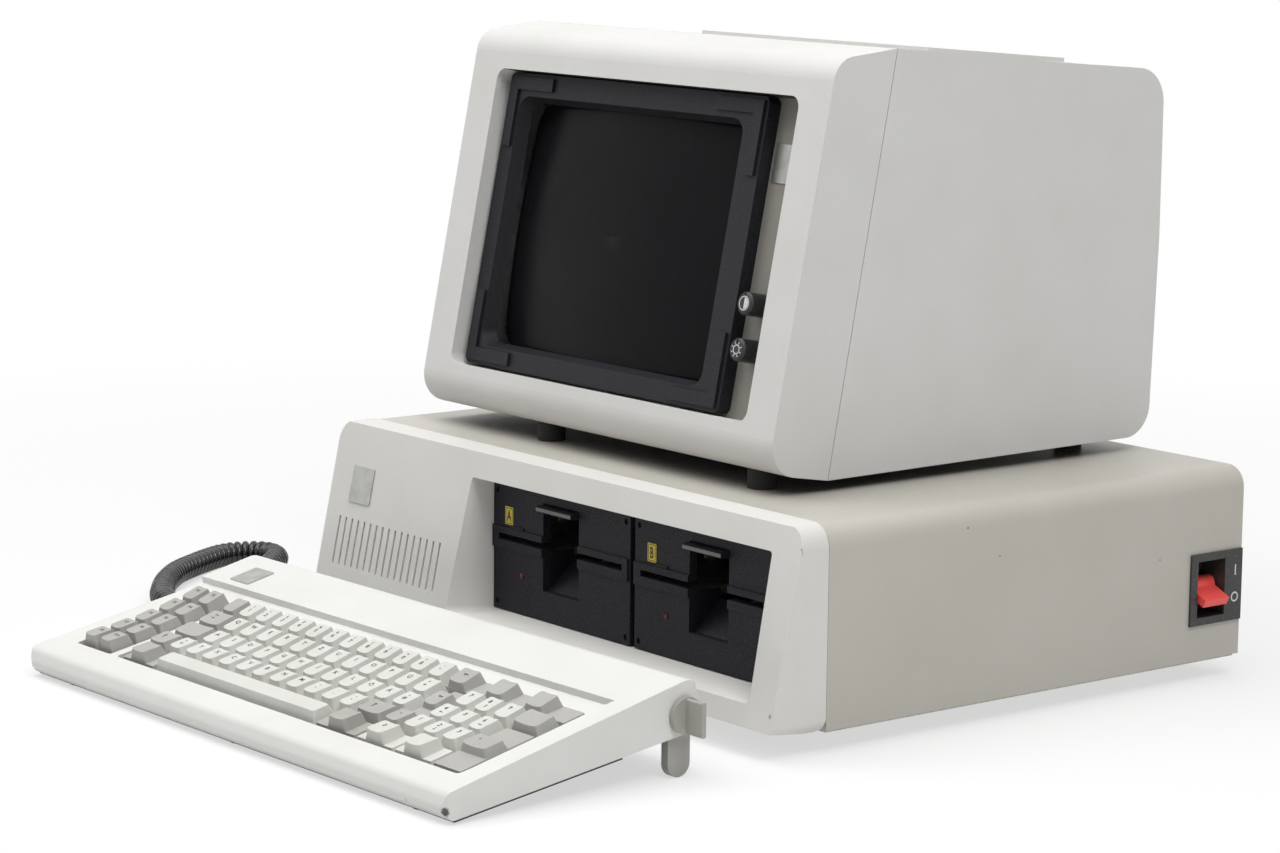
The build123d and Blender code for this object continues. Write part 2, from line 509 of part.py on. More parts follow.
seamLow, seamHigh = 117.9 - 52.1 * seamLean, 117.9 + 307.9 * seamLean

with BuildPart() as displayBody:
    with BuildSketch(displaySide.offset(-displayWidth / 2)) as s:
        Polygon(*displayOutline, align=None)
        for (y, z), radius in displayCorners:
            fillet(s.vertices().sort_by_distance((y, z, 0))[0], radius)
    extrude(amount=displayWidth)
with BuildPart() as displayHollow:
    with BuildSketch(displaySide.offset(-displayWidth / 2 + displayWall)) as s:
        Polygon(*displayOutline, align=None)
        for (y, z), radius in displayCorners:
            fillet(s.vertices().sort_by_distance((y, z, 0))[0], radius)
        offset(amount=-displayWall, mode=Mode.REPLACE)
    extrude(amount=displayWidth - 2 * displayWall)

with BuildPart() as displayBezel:
    add(displayBody.part)
    add(displayHollow.part, mode=Mode.SUBTRACT)
    with BuildSketch(face):
        RectangleRounded(apertureWidth + 5.2, apertureHeight + 5.2, 10)
    extrude(amount=-panelDepth)
    with BuildSketch(face.offset(6)):
        RectangleRounded(apertureWidth, apertureHeight, 8)
    extrude(amount=-(panelDepth + 12), mode=Mode.SUBTRACT)
    with BuildSketch(displaySide.offset(-displayWidth)):
        Polygon((seamLow - 0.3, -41), (seamHigh - 0.3, 319), (700, 319), (700, -41), align=None)
    extrude(amount=2 * displayWidth, mode=Mode.SUBTRACT)
displayBezel.part.label = "display_bezel"
export_step(displayBezel.part, "parts/display_bezel.step")

with BuildPart() as displayShell:
    add(displayBody.part)
    with BuildSketch(displaySide.offset(-118)):
        Polygon((262, 267), (262, 276.2), (388, 265.6), (388, 257), align=None)
    extrude(amount=236)
    add(displayHollow.part, mode=Mode.SUBTRACT)
    with BuildSketch(displaySide.offset(-displayWidth)):
        Polygon((seamLow + 0.3, -41), (seamHigh + 0.3, 319), (-100, 319), (-100, -41), align=None)
    extrude(amount=2 * displayWidth, mode=Mode.SUBTRACT)
    with BuildSketch(Plane(origin=(displayX, unitY + 395, displayZ), x_dir=(1, 0, 0), z_dir=(0, -1, 0))):
        for k in range(17):
            with Locations((-112 + 14 * k, 189)):
                SlotOverall(78, 4, rotation=90)
        with Locations((130, 45)):
            Circle(5)
        with Locations((100, 45)):
            Circle(5)
    extrude(amount=-40, mode=Mode.SUBTRACT)
    with BuildSketch(display.offset(4)):
        for k in range(13):
            with Locations((-96 + 16 * k, 300)):
                SlotOverall(90, 4, rotation=90)
    extrude(amount=14, mode=Mode.SUBTRACT)
displayShell.part.label = "display_shell"
export_step(displayShell.part, "parts/display_shell.step")

knobX, contrastT, brightnessT = 137.0, -29.6, -59.3
with BuildPart() as displayPanel:
    with BuildSketch(face.offset(-panelDepth)):
        Rectangle(apertureWidth + 5, apertureHeight + 5)
        with Locations((-22, -0.5)):
            RectangleRounded(glassWidth + 8, glassHeight + 7.8, 12, mode=Mode.SUBTRACT)
        with Locations((knobX, contrastT), (knobX, brightnessT)):
            Circle(4, mode=Mode.SUBTRACT)
    extrude(amount=-2.6)
displayPanel.part.label = "display_panel"
export_step(displayPanel.part, "parts/display_panel.step")

with BuildPart() as screenMask:
    with BuildSketch(face.offset(-panelDepth)):
        with Locations((-18.2, 0.5)):
            RectangleRounded(maskWidth, maskHeight, 5)
    extrude(amount=panelDepth - maskDepth)
    with BuildSketch(face.offset(-panelDepth)):
        with Locations((-22, -0.5)):
            RectangleRounded(glassWidth, glassHeight, 9)
    with BuildSketch(face.offset(-maskDepth)):
        with Locations((-22, -0.5)):
            RectangleRounded(glassWidth + 7, glassHeight + 7, 11)
    loft(mode=Mode.SUBTRACT)
    with BuildSketch(face.offset(-maskDepth)):
        for sx in (-1, 1):
            for sy in (-1, 1):
                with Locations((-18.2 + sx * (maskWidth / 2 - 27), 0.5 + sy * (maskHeight / 2 - 7))):
                    Rectangle(48, 9)
                with Locations((-18.2 + sx * (maskWidth / 2 - 7.5), 0.5 + sy * (maskHeight / 2 - 27))):
                    Rectangle(9, 49)
    extrude(amount=2)
screenMask.part.label = "screen_mask"
export_step(screenMask.part, "parts/screen_mask.step")

tubeFront, tubeRadius = 15.6, 760.0
tubeAxis = Plane(origin=face.from_local_coords((-22, -0.5, 0)), x_dir=(1, 0, 0), z_dir=face.z_dir)
with BuildPart() as pictureTube:
    with BuildSketch(tubeAxis.offset(-66)):
        RectangleRounded(glassWidth + 4, glassHeight + 3.8, 17)
    extrude(amount=60)
    with Locations(Location(tubeAxis.offset(-(tubeFront + tubeRadius)))):
        Sphere(tubeRadius, mode=Mode.INTERSECT)
    with BuildSketch(tubeAxis.offset(-66)):
        RectangleRounded(glassWidth + 4, glassHeight + 3.8, 17)
    with BuildSketch(tubeAxis.offset(-120)):
        RectangleRounded(158, 118, 50)
    with BuildSketch(tubeAxis.offset(-205)):
        RectangleRounded(36, 36, 17)
    loft(ruled=True)
    with BuildSketch(tubeAxis.offset(-204)):
        Circle(14.7)
    extrude(amount=-78)
    with BuildSketch(tubeAxis.offset(-38)):
        RectangleRounded(glassWidth - 10, glassHeight - 10.2, 12)
    with BuildSketch(tubeAxis.offset(-68)):
        RectangleRounded(glassWidth - 10, glassHeight - 10.2, 13)
    with BuildSketch(tubeAxis.offset(-119)):
        RectangleRounded(146, 106, 46)
    with BuildSketch(tubeAxis.offset(-203)):
        RectangleRounded(25, 25, 12)
    loft(ruled=True, mode=Mode.SUBTRACT)
    with BuildSketch(tubeAxis.offset(-200)):
        Circle(11.5)
    extrude(amount=-90, mode=Mode.SUBTRACT)
pictureTube.part.label = "picture_tube"
export_step(pictureTube.part, "parts/picture_tube.step")

with BuildPart() as deflectionYoke:
    with BuildSketch(tubeAxis.offset(-207)):
        Circle(42)
        Circle(14.9, mode=Mode.SUBTRACT)
    extrude(amount=-20)
    with BuildSketch(tubeAxis.offset(-227)):
        Circle(30)
        Circle(14.9, mode=Mode.SUBTRACT)
    extrude(amount=-12)
deflectionYoke.part.label = "deflection_yoke"
export_step(deflectionYoke.part, "parts/deflection_yoke.step")

halfDisplay = displayWidth / 2
with BuildPart(display) as displayChassis:
    bar(40 - halfDisplay, halfDisplay - 40, 132, 384, 17.4, 18.8)
    bar(40 - halfDisplay, 41.4 - halfDisplay, 132, 384, 18, 47)
    bar(halfDisplay - 41.4, halfDisplay - 40, 132, 384, 18, 47)
    bar(25 - halfDisplay, halfDisplay - 25, 158, 159.6, 17.4, 251)
    bar(-glassWidth / 2 - 25, glassWidth / 2 - 17, 150, 165, 48, 245, mode=Mode.SUBTRACT)
    for k in range(9):
        bar(-100 + 24 * k, -92 + 24 * k, 200, 380, 9, 21, mode=Mode.SUBTRACT)
    for x in (60 - halfDisplay, halfDisplay - 60):
        for y in (200, 360):
            floor = 11.1 + (13.3 - 11.1) * (y - 117.9) / (406.5 - 117.9) + displayWall
            round_z(x, y, floor + 0.32, 17.8, 6)
displayChassis.part.label = "display_chassis"
export_step(displayChassis.part, "parts/display_chassis.step")

with BuildPart() as displayBoard:
    with Locations((displayX, unitY + 290, displayZ + 28)):
        Box(displayWidth - 110, 196, 1.6)
    for x, y, z, w, d in ((88, 250, 40, 52, 46), (92, 330, 26, 60, 40), (-96, 260, 20, 40, 70),
                          (-110, 345, 34, 30, 34)):
        with Locations((displayX + x, unitY + y, displayZ + 28.5 + z / 2)):
            Box(w, d, z)
    for x, y, r, h in ((-40, 230, 9, 22), (-14, 230, 9, 22), (20, 225, 11, 26), (-40, 262, 6, 14),
                       (30, 360, 8, 18)):
        with Locations((displayX + x, unitY + y, displayZ + 28.5 + h / 2)):
            Cylinder(r, h)
    for x in (70 - halfDisplay, halfDisplay - 70):
        for y in (200, 380):
            with Locations((displayX + x, unitY + y, displayZ + 23.2)):
                Cylinder(3, 8.8)
    with BuildSketch(tubeAxis.offset(-284)):
        RectangleRounded(64, 64, 3)
    extrude(amount=-1.6)
    with BuildSketch(tubeAxis.offset(-284)):
        Circle(18)
        Circle(14.9, mode=Mode.SUBTRACT)
    extrude(amount=9)
displayBoard.part.label = "display_board"
export_step(displayBoard.part, "parts/display_board.step")

for name, t in (("contrast", contrastT), ("brightness", brightnessT)):
    with BuildPart() as knob:
        with BuildSketch(face.offset(-(panelDepth - 0.5))):
            with Locations((knobX, t)):
                Circle(knobDiameter / 2)
        extrude(amount=panelDepth - 3.5)
        chamfer(knob.edges().filter_by(GeomType.CIRCLE).sort_by(Axis.Y)[:1], 1.4)
        with BuildSketch(face.offset(-3)):
            with Locations((knobX, t + 5.2)):
                Rectangle(0.9, 3.6)
        extrude(amount=-0.8, mode=Mode.SUBTRACT)
        with BuildSketch(face.offset(-(panelDepth - 1))):
            with Locations((knobX, t)):
                Circle(2.9)
        extrude(amount=-14)
    knob.part.label = name + "_knob"
    export_step(knob.part, "parts/%s_knob.step" % name)

with BuildPart() as controlPots:
    for t in (contrastT, brightnessT):
        with BuildSketch(face.offset(-(panelDepth + 2.7))):
            with Locations((knobX, t)):
                RectangleRounded(17, 20, 2)
                Circle(3.3, mode=Mode.SUBTRACT)
        extrude(amount=-8)
        with BuildSketch(face.offset(-(panelDepth + 10.6))):
            with Locations((knobX, t)):
                Circle(8)
                Circle(3.3, mode=Mode.SUBTRACT)
        extrude(amount=-6)
controlPots.part.label = "control_pots"
export_step(controlPots.part, "parts/control_pots.step")

with BuildPart() as displayFeet:
    for x in (118 - halfDisplay, halfDisplay - 38):
        for y in (96, 368):
            round_z(displayX + x, unitY + y, coverTop + 0.02, displayZ + 19, 9.6)
    add(displayBody.part, mode=Mode.SUBTRACT)
displayFeet.part.label = "display_feet"
export_step(displayFeet.part, "parts/display_feet.step")

with BuildPart() as displayBadge:
    with BuildSketch(face.offset(-panelDepth)):
        with Locations((136.5, 61.8)):
            RectangleRounded(25, 25, 1.2)
    extrude(amount=0.9)
displayBadge.part.label = "display_badge"
export_step(displayBadge.part, "parts/display_badge.step")

# ================================ keyboard =================================
yaw, tilt, rise = radians(keyboardYaw), radians(keyboardTilt), atan2(deckSlope, 1)
across = Vector(cos(yaw), -sin(yaw), 0)
along = Vector(sin(yaw) * cos(tilt), cos(yaw) * cos(tilt), sin(tilt))
upward = Vector(-sin(yaw) * sin(tilt), -cos(yaw) * sin(tilt), cos(tilt))
ahead = Vector(sin(yaw), cos(yaw), 0)
deckNormal = upward * cos(rise) - along * sin(rise)
deckAlong = along * cos(rise) + upward * sin(rise)
keyboardFoot = Vector(keyboardX, keyboardY, 0)
board = Plane(origin=keyboardFoot, x_dir=across, z_dir=upward)
boardSide = Plane(origin=keyboardFoot, x_dir=along, z_dir=across)
deck = Plane(origin=keyboardFoot, x_dir=across, z_dir=deckNormal)
half = keyboardWidth / 2
rimBack = deckFront + deckSlope * keyboardRear
rimLip = deckFront + deckSlope * stripFront
keyS = [firstRow + keyPitch * i for i in range(5)]
rowTop = (24.8, 23.2, 22.4, 22.8, 24.0)
rowTilt = (-3.0, -1.0, 2.0, 5.0, 8.0)
padLeft = mainLeft + 14.75 * keyPitch
signLeft = padLeft + 3 * keyPitch
mainRight = signLeft + 1.5 * keyPitch
wellFront, wellBack = firstRow - keyPitch / 2 - 3.975, keyS[4] + keyPitch / 2 - 0.425
supportX = (31 - half, -70, 70, half - 31)
supportY = (wellFront + 4.2, wellBack + 1.4)
pivotV, pivotW = keyboardRear - 15.8, 13.9  # the pins of the folding feet
exitU, exitW = -100.0, 9.5                  # where the cord leaves the rear

with BuildPart() as keyboardCase:
    with BuildSketch(boardSide.offset(-half)) as s:
        Polygon((2, 2), (-3.5, 9), (1.5, deckFront + 0.15), (keyboardRear, rimBack), (keyboardRear, 2),
                align=None)
        fillet(s.vertices().sort_by_distance((-3.5, 9, 0))[0], 6)
        fillet(s.vertices().sort_by_distance((1.5, deckFront + 0.15, 0))[0], 6)
        fillet(s.vertices().sort_by_distance((keyboardRear, rimBack, 0))[0], 12)
    extrude(amount=keyboardWidth)
    with BuildSketch(board):
        with Locations((0, (keyboardRear - 3.5) / 2)):
            RectangleRounded(keyboardWidth, keyboardRear + 3.5, 9)
    extrude(amount=60, mode=Mode.INTERSECT)
    with BuildSketch(boardSide.offset(-half + 2.6)):
        Polygon((2.4, -5), (2.4, 13.5), (8, 16.8), (stripFront + 1, rimLip - 7.345),
                (stripFront + 3, rimLip - 2.645), (keyboardRear - 12, rimBack - 3.95),
                (keyboardRear - 2.6, rimBack - 11.15), (keyboardRear - 2.6, -5), align=None)
    extrude(amount=keyboardWidth - 5.2, mode=Mode.SUBTRACT)
    with BuildSketch(boardSide.offset(-half - 5)):
        Polygon((9, deckFront + deckSlope * 9), (stripFront, rimLip - 4.5), (stripFront, 60), (9, 60),
                align=None)
    extrude(amount=half + 5 + mainRight + 3.2, mode=Mode.SUBTRACT)
    with BuildSketch(board.offset(6)):
        with Locations(((functionLeft + functionLeft + 2 * keyPitch) / 2, (wellFront + wellBack) / 2)):
            RectangleRounded(2 * keyPitch + 3.4, wellBack - wellFront, 2)
        with Locations(((mainLeft + mainRight) / 2, (wellFront + wellBack) / 2)):
            RectangleRounded(mainRight - mainLeft + 3.2, wellBack - wellFront, 3)
    extrude(amount=60, mode=Mode.SUBTRACT)
    with BuildSketch(boardSide.offset(-half - 5)):
        with Locations((pivotV, pivotW)):
            Circle(5.4)
    extrude(amount=keyboardWidth + 10, mode=Mode.SUBTRACT)
    exitPoint = keyboardFoot + along * (keyboardRear - 10) + across * exitU + upward * exitW
    with BuildSketch(Plane(origin=exitPoint, x_dir=across, z_dir=along)):
        Circle(5.1)
    extrude(amount=20, mode=Mode.SUBTRACT)
keyboardCase.part.label = "keyboard_case"
export_step(keyboardCase.part, "parts/keyboard_case.step")

with BuildPart(board) as keyboardBase:
    bar(-half + 1.5, half - 1.5, 4, keyboardRear - 3, 0.3, 1.9)
    for x in (-half + 7.1, half - 7.1):
        bar(x - 5.6, x + 5.6, pivotV - 47.2, pivotV + 10.4, -1, 4, mode=Mode.SUBTRACT)
    bar(-half + 15, half - 15, 5, 6.6, 1.5, 10)
    for x in supportX:
        for y in supportY:
            round_z(x, y, 1.5, 6.45 + deckSlope * (y - 4), 3)
keyboardBase.part.label = "keyboard_base"
export_step(keyboardBase.part, "parts/keyboard_base.step")

with BuildPart() as belowDesk:
    with Locations((0, 0, -50)):
        Box(2000, 2000, 100)

with BuildPart() as keyboardPads:
    with BuildSketch(board.offset(0.28)):
        with Locations((41 - half, 12), (0, 12), (half - 41, 12)):
            Circle(7)
    extrude(amount=-6)
    add(belowDesk.part, mode=Mode.SUBTRACT)
keyboardPads.part.label = "keyboard_pads"
export_step(keyboardPads.part, "parts/keyboard_pads.step")

centres = {}
centres["function"] = [(functionLeft + keyPitch * (0.5 + i), r) for r in range(5) for i in range(2)]
centres["number"] = [(mainLeft + keyPitch * (1.5 + i), 4) for i in range(12)]
centres["upper"] = [(mainLeft + keyPitch * (2.0 + i), 3) for i in range(12)]
centres["home"] = [(mainLeft + keyPitch * (2.25 + i), 2) for i in range(12)]
centres["lower"] = [(mainLeft + keyPitch * (1.75 + i), 1) for i in range(11)]
centres["digits"] = [(padLeft + keyPitch * (0.5 + i), r) for r in (1, 2, 3) for i in range(3)]

with BuildPart() as keyPlate:
    with BuildSketch(deck.offset(plateTop - 1.4)):
        with Locations((2, (20 + wellBack + 11.4) / 2)):
            Rectangle(keyboardWidth - 34, wellBack - 8.6)
    extrude(amount=1.4)
    posts = [c for name in centres for c in centres[name]]
    wide = ((0.5, 4), (0.75, 3), (0.875, 2), (0.625, 1), (1.0, 0), (13.7, 4), (15.65, 4), (17.65, 4),
            (13.0, 1), (14.25, 1), (12.7, 0), (3.2, 0), (6.75, 0), (10.3, 0), (14.75, 0), (16.75, 0),
            (18.5, 3), (18.5, 1))
    posts += [(mainLeft + keyPitch * k, row) for k, row in wide]
    with BuildSketch(deck.offset(plateTop - 0.2)):
        for x, row in posts:
            with Locations((x, keyS[row])):
                Circle(3.2)
        with Locations((mainLeft + keyPitch * 14.25, keyS[2] + keyPitch * 0.5)):
            Circle(3.2)
    extrude(amount=keyBase + 1.5 - plateTop + 0.2)
keyPlate.part.label = "key_plate"
export_step(keyPlate.part, "parts/key_plate.step")

with BuildPart() as keyboardBoard:
    with BuildSketch(deck.offset(3.0)):
        with Locations((2, (20 + wellBack + 11.4) / 2)):
            Rectangle(keyboardWidth - 38, wellBack - 12.6)
        for x in supportX:
            for y in supportY:
                with Locations((x, y + 1)):
                    Circle(4.5, mode=Mode.SUBTRACT)
    extrude(amount=1.6)
    with BuildSketch(deck.offset(4.5)):
        for k in range(4):
            with Locations((-150 + 62 * k, wellBack - 6.6)):
                Rectangle(30, 9)
    extrude(amount=1.9)
keyboardBoard.part.label = "keyboard_board"
export_step(keyboardBoard.part, "parts/keyboard_board.step")


# the socket under a key that slides down over its post
def socket(x, s):
    foot = Plane(origin=deck.from_local_coords((x, s, keyBase)), x_dir=across, z_dir=deckNormal)
    with Locations(Location(foot)):
        Cylinder(3.75, 11.4, mode=Mode.SUBTRACT)


# one key cap: drafted sides, a shallow dish on top and a socket below
def keycap(x, s, units, top, lean, deep=1.0, dish=0.9):
    skirt, length = units * keyPitch - 0.85, deep * keyPitch - 0.85
    head, crownLength = skirt - 5.6, length - 4.0
    origin = deck.from_local_coords((x, s, keyBase))
    crownOrigin = deck.from_local_coords((x, s + 0.2, top))
    normal = deckNormal * cos(radians(lean)) - deckAlong * sin(radians(lean))
    foot = Plane(origin=origin, x_dir=across, z_dir=deckNormal)
    crown = Plane(origin=crownOrigin, x_dir=across, z_dir=normal)
    with BuildSketch(foot, mode=Mode.PRIVATE) as low:
        RectangleRounded(skirt, length, 1.0)
    with BuildSketch(crown, mode=Mode.PRIVATE) as high:
        RectangleRounded(head, crownLength, 2.2)
    loft(sections=(low.sketch.face(), high.sketch.face()))
    if dish:
        bowl = (head / 2) ** 2 / (2 * dish)
        with Locations(Location(crown.offset(bowl - dish)) * Rotation(90, 0, 0)):
            Cylinder(bowl, length - 1, mode=Mode.SUBTRACT)
    socket(x, s)


# the low shelf beside or before the raised part of a wide key
def shelf(x, s, units, deep, height=4.2):
    foot = Plane(origin=deck.from_local_coords((x, s, keyBase)), x_dir=across, z_dir=deckNormal)
    with BuildSketch(foot, mode=Mode.PRIVATE) as low:
        RectangleRounded(units * keyPitch - 0.85, deep * keyPitch - 0.85, 1.0)
    with BuildSketch(foot.offset(height), mode=Mode.PRIVATE) as high:
        RectangleRounded(units * keyPitch - 2.6, deep * keyPitch - 2.6, 1.0)
    loft(sections=(low.sketch.face(), high.sketch.face()))


for group, label in (("function", "function_keys"), ("number", "number_keys"), ("upper", "upper_letter_keys"),
                     ("home", "home_letter_keys"), ("lower", "lower_letter_keys")):
    with BuildPart() as keys:
        for x, row in centres[group]:
            keycap(x, keyS[row], 1.0, rowTop[row], rowTilt[row])
    keys.part.label = label
    export_step(keys.part, "parts/%s.step" % label)

with BuildPart() as keypadKeys:
    for x, row in centres["digits"]:
        keycap(x, keyS[row], 1.0, rowTop[row], rowTilt[row])
    for x in (padLeft, padLeft + 2 * keyPitch):
        shelf(x, keyS[0], 2.0, 1.0)
        keycap(x, keyS[0], 1.15, rowTop[0], rowTilt[0])
keypadKeys.part.label = "keypad_keys"
export_step(keypadKeys.part, "parts/keypad_keys.step")

with BuildPart() as leftGreyKeys:
    for row, units in ((4, 1.0), (3, 1.5), (2, 1.75), (1, 1.25)):
        keycap(mainLeft + keyPitch * units / 2, keyS[row], units, rowTop[row], rowTilt[row])
    shelf(mainLeft + keyPitch, keyS[0], 2.0, 1.0)
    keycap(mainLeft + keyPitch, keyS[0], 1.15, rowTop[0], rowTilt[0])
leftGreyKeys.part.label = "left_grey_keys"
export_step(leftGreyKeys.part, "parts/left_grey_keys.step")

with BuildPart() as rightGreyKeys:
    keycap(mainLeft + keyPitch * 13.0, keyS[1], 1.5, rowTop[1], rowTilt[1])
    keycap(mainLeft + keyPitch * 14.25, keyS[1], 1.0, rowTop[1], rowTilt[1])
    shelf(mainLeft + keyPitch * 12.625, keyS[0], 2.25, 1.0)
    keycap(mainLeft + keyPitch * 12.7, keyS[0], 1.15, rowTop[0], rowTilt[0])
rightGreyKeys.part.label = "right_grey_keys"
export_step(rightGreyKeys.part, "parts/right_grey_keys.step")

with BuildPart() as lockKeys:
    for left, units, head in ((13.0, 2.0, 13.7), (15.0, 2.0, 15.65), (17.0, 2.25, 17.65)):
        shelf(mainLeft + keyPitch * (left + units / 2), keyS[4], units, 1.0)
        keycap(mainLeft + keyPitch * head, keyS[4], 1.15, rowTop[4], rowTilt[4])
lockKeys.part.label = "lock_keys"
export_step(lockKeys.part, "parts/lock_keys.step")

with BuildPart() as enterKey:
    shelf(mainLeft + keyPitch * 14.25, keyS[2] + keyPitch / 2, 1.0, 2.0)
    keycap(mainLeft + keyPitch * 14.25, keyS[2] + keyPitch / 2, 1.0, rowTop[3], rowTilt[3])
    socket(mainLeft + keyPitch * 14.25, keyS[2] + keyPitch / 2)
enterKey.part.label = "enter_key"
export_step(enterKey.part, "parts/enter_key.step")

with BuildPart() as signKeys:
    keycap(signLeft + keyPitch * 0.75, keyS[3], 1.5, rowTop[3], rowTilt[3])
    shelf(signLeft + keyPitch * 0.75, keyS[1], 1.5, 3.0)
    keycap(signLeft + keyPitch * 0.75, keyS[1], 1.5, rowTop[1], rowTilt[1])
signKeys.part.label = "keypad_sign_keys"
export_step(signKeys.part, "parts/keypad_sign_keys.step")

with BuildPart() as spaceBar:
    x = mainLeft + keyPitch * 6.75
    foot = Plane(origin=deck.from_local_coords((x, keyS[0], keyBase)), x_dir=across, z_dir=deckNormal)
    with BuildSketch(foot):
        RectangleRounded(9.5 * keyPitch - 0.85, keyPitch - 0.85, 1.2)
    with BuildSketch(foot.offset(9.6)):
        RectangleRounded(9.5 * keyPitch - 5.4, keyPitch - 7.45, 2.4)
    loft()
    for k in (3.2, 6.75, 10.3):
        socket(mainLeft + keyPitch * k, keyS[0])
spaceBar.part.label = "space_bar"
export_step(spaceBar.part, "parts/space_bar.step")

# ---- feet that swing out behind the keyboard ----
pivotHeight = pivotV * sin(tilt) + pivotW * cos(tilt)
for side, name in ((-1, "left"), (1, "right")):
    pivot = keyboardFoot + along * pivotV + upward * pivotW
    # local x runs back along the desk, local y straight up, the normal points to +across
    swing = Plane(origin=pivot, x_dir=ahead, z_dir=across)
    with BuildPart() as foot:
        with BuildSketch(swing.offset(side * (half - 10))):
            with Locations((0, -(pivotHeight - 8.5) / 2)):
                SlotOverall(pivotHeight + 8.5, 17, rotation=90)
        extrude(amount=side * 6)
        with BuildSketch(swing.offset(side * (half - 4.5))):
            Circle(5.0)
        extrude(amount=side * 6)
        with BuildSketch(swing.offset(side * (half + 0.4))):
            Circle(11.3)
        extrude(amount=side * 3.4)
        with BuildSketch(swing.offset(side * (half + 3.6))):
            RectangleRounded(3.2, 21.4, 1.2)
        extrude(amount=side * 15)
    foot.part.label = "keyboard_foot_" + name
    export_step(foot.part, "parts/keyboard_foot_%s.step" % name)

with BuildPart() as keyboardBadge:
    with BuildSketch(deck.offset(deckFront * cos(rise) + 0.02)):
        with Locations((37 - half, stripFront + 19)):
            RectangleRounded(22, 22, 1.0)
    extrude(amount=0.8)
keyboardBadge.part.label = "keyboard_badge"
export_step(keyboardBadge.part, "parts/keyboard_badge.step")

# ================================== cord ===================================
with BuildPart() as strainRelief:
    wall = Plane(origin=keyboardFoot + across * exitU + upward * exitW, x_dir=across, z_dir=along)
    with BuildSketch(wall.offset(keyboardRear - 6.6)):
        Circle(7)
    extrude(amount=3.8)
    with BuildSketch(wall.offset(keyboardRear - 4)):
        Circle(4.8)
    extrude(amount=8)
    with BuildSketch(wall.offset(keyboardRear + 0.2)):
        with Locations((-0.5, 0)):
            RectangleRounded(13, 12, 2)
    extrude(amount=13)
    with BuildSketch(Plane(origin=keyboardFoot + along * (keyboardRear + 7) + upward * exitW
                           + across * (exitU - 4), x_dir=along, z_dir=across * -1)):
        Circle(4.6)
    extrude(amount=14)
strainRelief.part.label = "cord_strain_relief"
export_step(strainRelief.part, "parts/cord_strain_relief.step")


# corner radii from the run lengths: 0.45 of the shorter run over tan(half the turn)
def corner_radii(points):
    radii = []
    for a, b, c in zip(points, points[1:], points[2:]):
        first, second = Vector(*b) - Vector(*a), Vector(*c) - Vector(*b)
        turn = radians(first.get_angle(second))
        radii.append(0.45 * min(first.length, second.length) / tan(turn / 2))
    return radii


leadStart = keyboardFoot + across * (exitU - 18) + along * (keyboardRear + 7) + upward * exitW
leadBend = leadStart + across * -24
coilZ = coilDiameter / 2 + 0.3
cordLeft = unitX - halfUnit
cordBack = unitY + unitDepth
coilStart = (cordLeft + 69, unitY - 33, coilZ)
leadPoints = [tuple(leadStart), tuple(leadBend), (cordLeft + 99, unitY - 33, coilZ), coilStart]
coilPoints = [
    coilStart,
    (cordLeft + 13, unitY - 33, coilZ),
    (cordLeft - 55, unitY - 92, coilZ),
    (cordLeft - 148, unitY - 33, coilZ),
    (cordLeft - 186, unitY + 26, coilZ),
    (cordLeft - 197, unitY + 54, coilZ),
    (cordLeft - 186, unitY + 76, coilZ),
    (cordLeft - 162, unitY + 76, coilZ),
    (cordLeft - 140, unitY + 52, coilZ),
    (cordLeft - 110, unitY + 24, coilZ),
]
plugX, plugZ = unitX + dinX[0], dinZ
tailPoints = [
    coilPoints[-1],
    (cordLeft - 92, unitY + 7.2, coilZ),
    (cordLeft - 64, unitY, 6.0),
    (cordLeft - 38, unitY + 20, 3.6),
    (cordLeft - 26, unitY + 58, 3.2),
    (cordLeft - 19, unitY + 114, 3.2),
    (cordLeft - 15.5, cordBack - 234, 3.2),
    (cordLeft - 14, cordBack - 172, 3.2),
    (cordLeft - 14.5, cordBack - 110, 3.2),
    (cordLeft - 17, cordBack - 48, 3.2),
    (cordLeft - 10, cordBack + 10, 3.2),
    (cordLeft + 14, cordBack + 58, 3.2),
    (plugX - 146, cordBack + 84, 4.0),
    (plugX - 68, cordBack + 98, 12.0),
    (plugX - 20, cordBack + 94, 26.0),
    (plugX, cordBack + 70, plugZ),
    (plugX, cordBack + 42, plugZ),
]
cords = (("cord_lead", leadPoints, leadDiameter), ("cord_coil", coilPoints, coilDiameter),
         ("cord_tail", tailPoints, leadDiameter))
for name, points, diameter in cords:
    radii = corner_radii(points)
    runs = [round((Vector(*b) - Vector(*a)).length, 1) for a, b in zip(points, points[1:])]
    print(name, "radii", [round(r, 1) for r in radii], "runs", runs)
    with BuildPart() as cord:
        with BuildLine() as route:
            FilletPolyline(*points, radius=radii)
        with BuildSketch(Plane(origin=route.line @ 0, z_dir=route.line % 0)):
            Circle(diameter / 2)
        sweep(path=route.line)
    total = sum(edge.length for edge in route.line.edges())
    print(name, "length", round(total, 1), "volume", round(cord.part.volume),
          "section x length", round(pi * diameter ** 2 / 4 * total))
    cord.part.label = name
    export_step(cord.part, "parts/%s.step" % name)

with BuildPart() as cordPlug:
    back = Plane(origin=(plugX, unitY, plugZ), x_dir=(1, 0, 0), z_dir=(0, 1, 0))
    with BuildSketch(back.offset(boardRear + 2)):
        Circle(dinRadius - 0.4)
        Circle(dinRadius - 1.2, mode=Mode.SUBTRACT)
    extrude(amount=11)
    with BuildSketch(back.offset(unitDepth - 0.6)):
        Circle(8.6)
    extrude(amount=30)
    with BuildSketch(back.offset(unitDepth + 29)):
        Circle(7.0)
    with BuildSketch(back.offset(unitDepth + 42)):
        Circle(4.2)
    loft()
cordPlug.part.label = "cord_plug"
export_step(cordPlug.part, "parts/cord_plug.step")
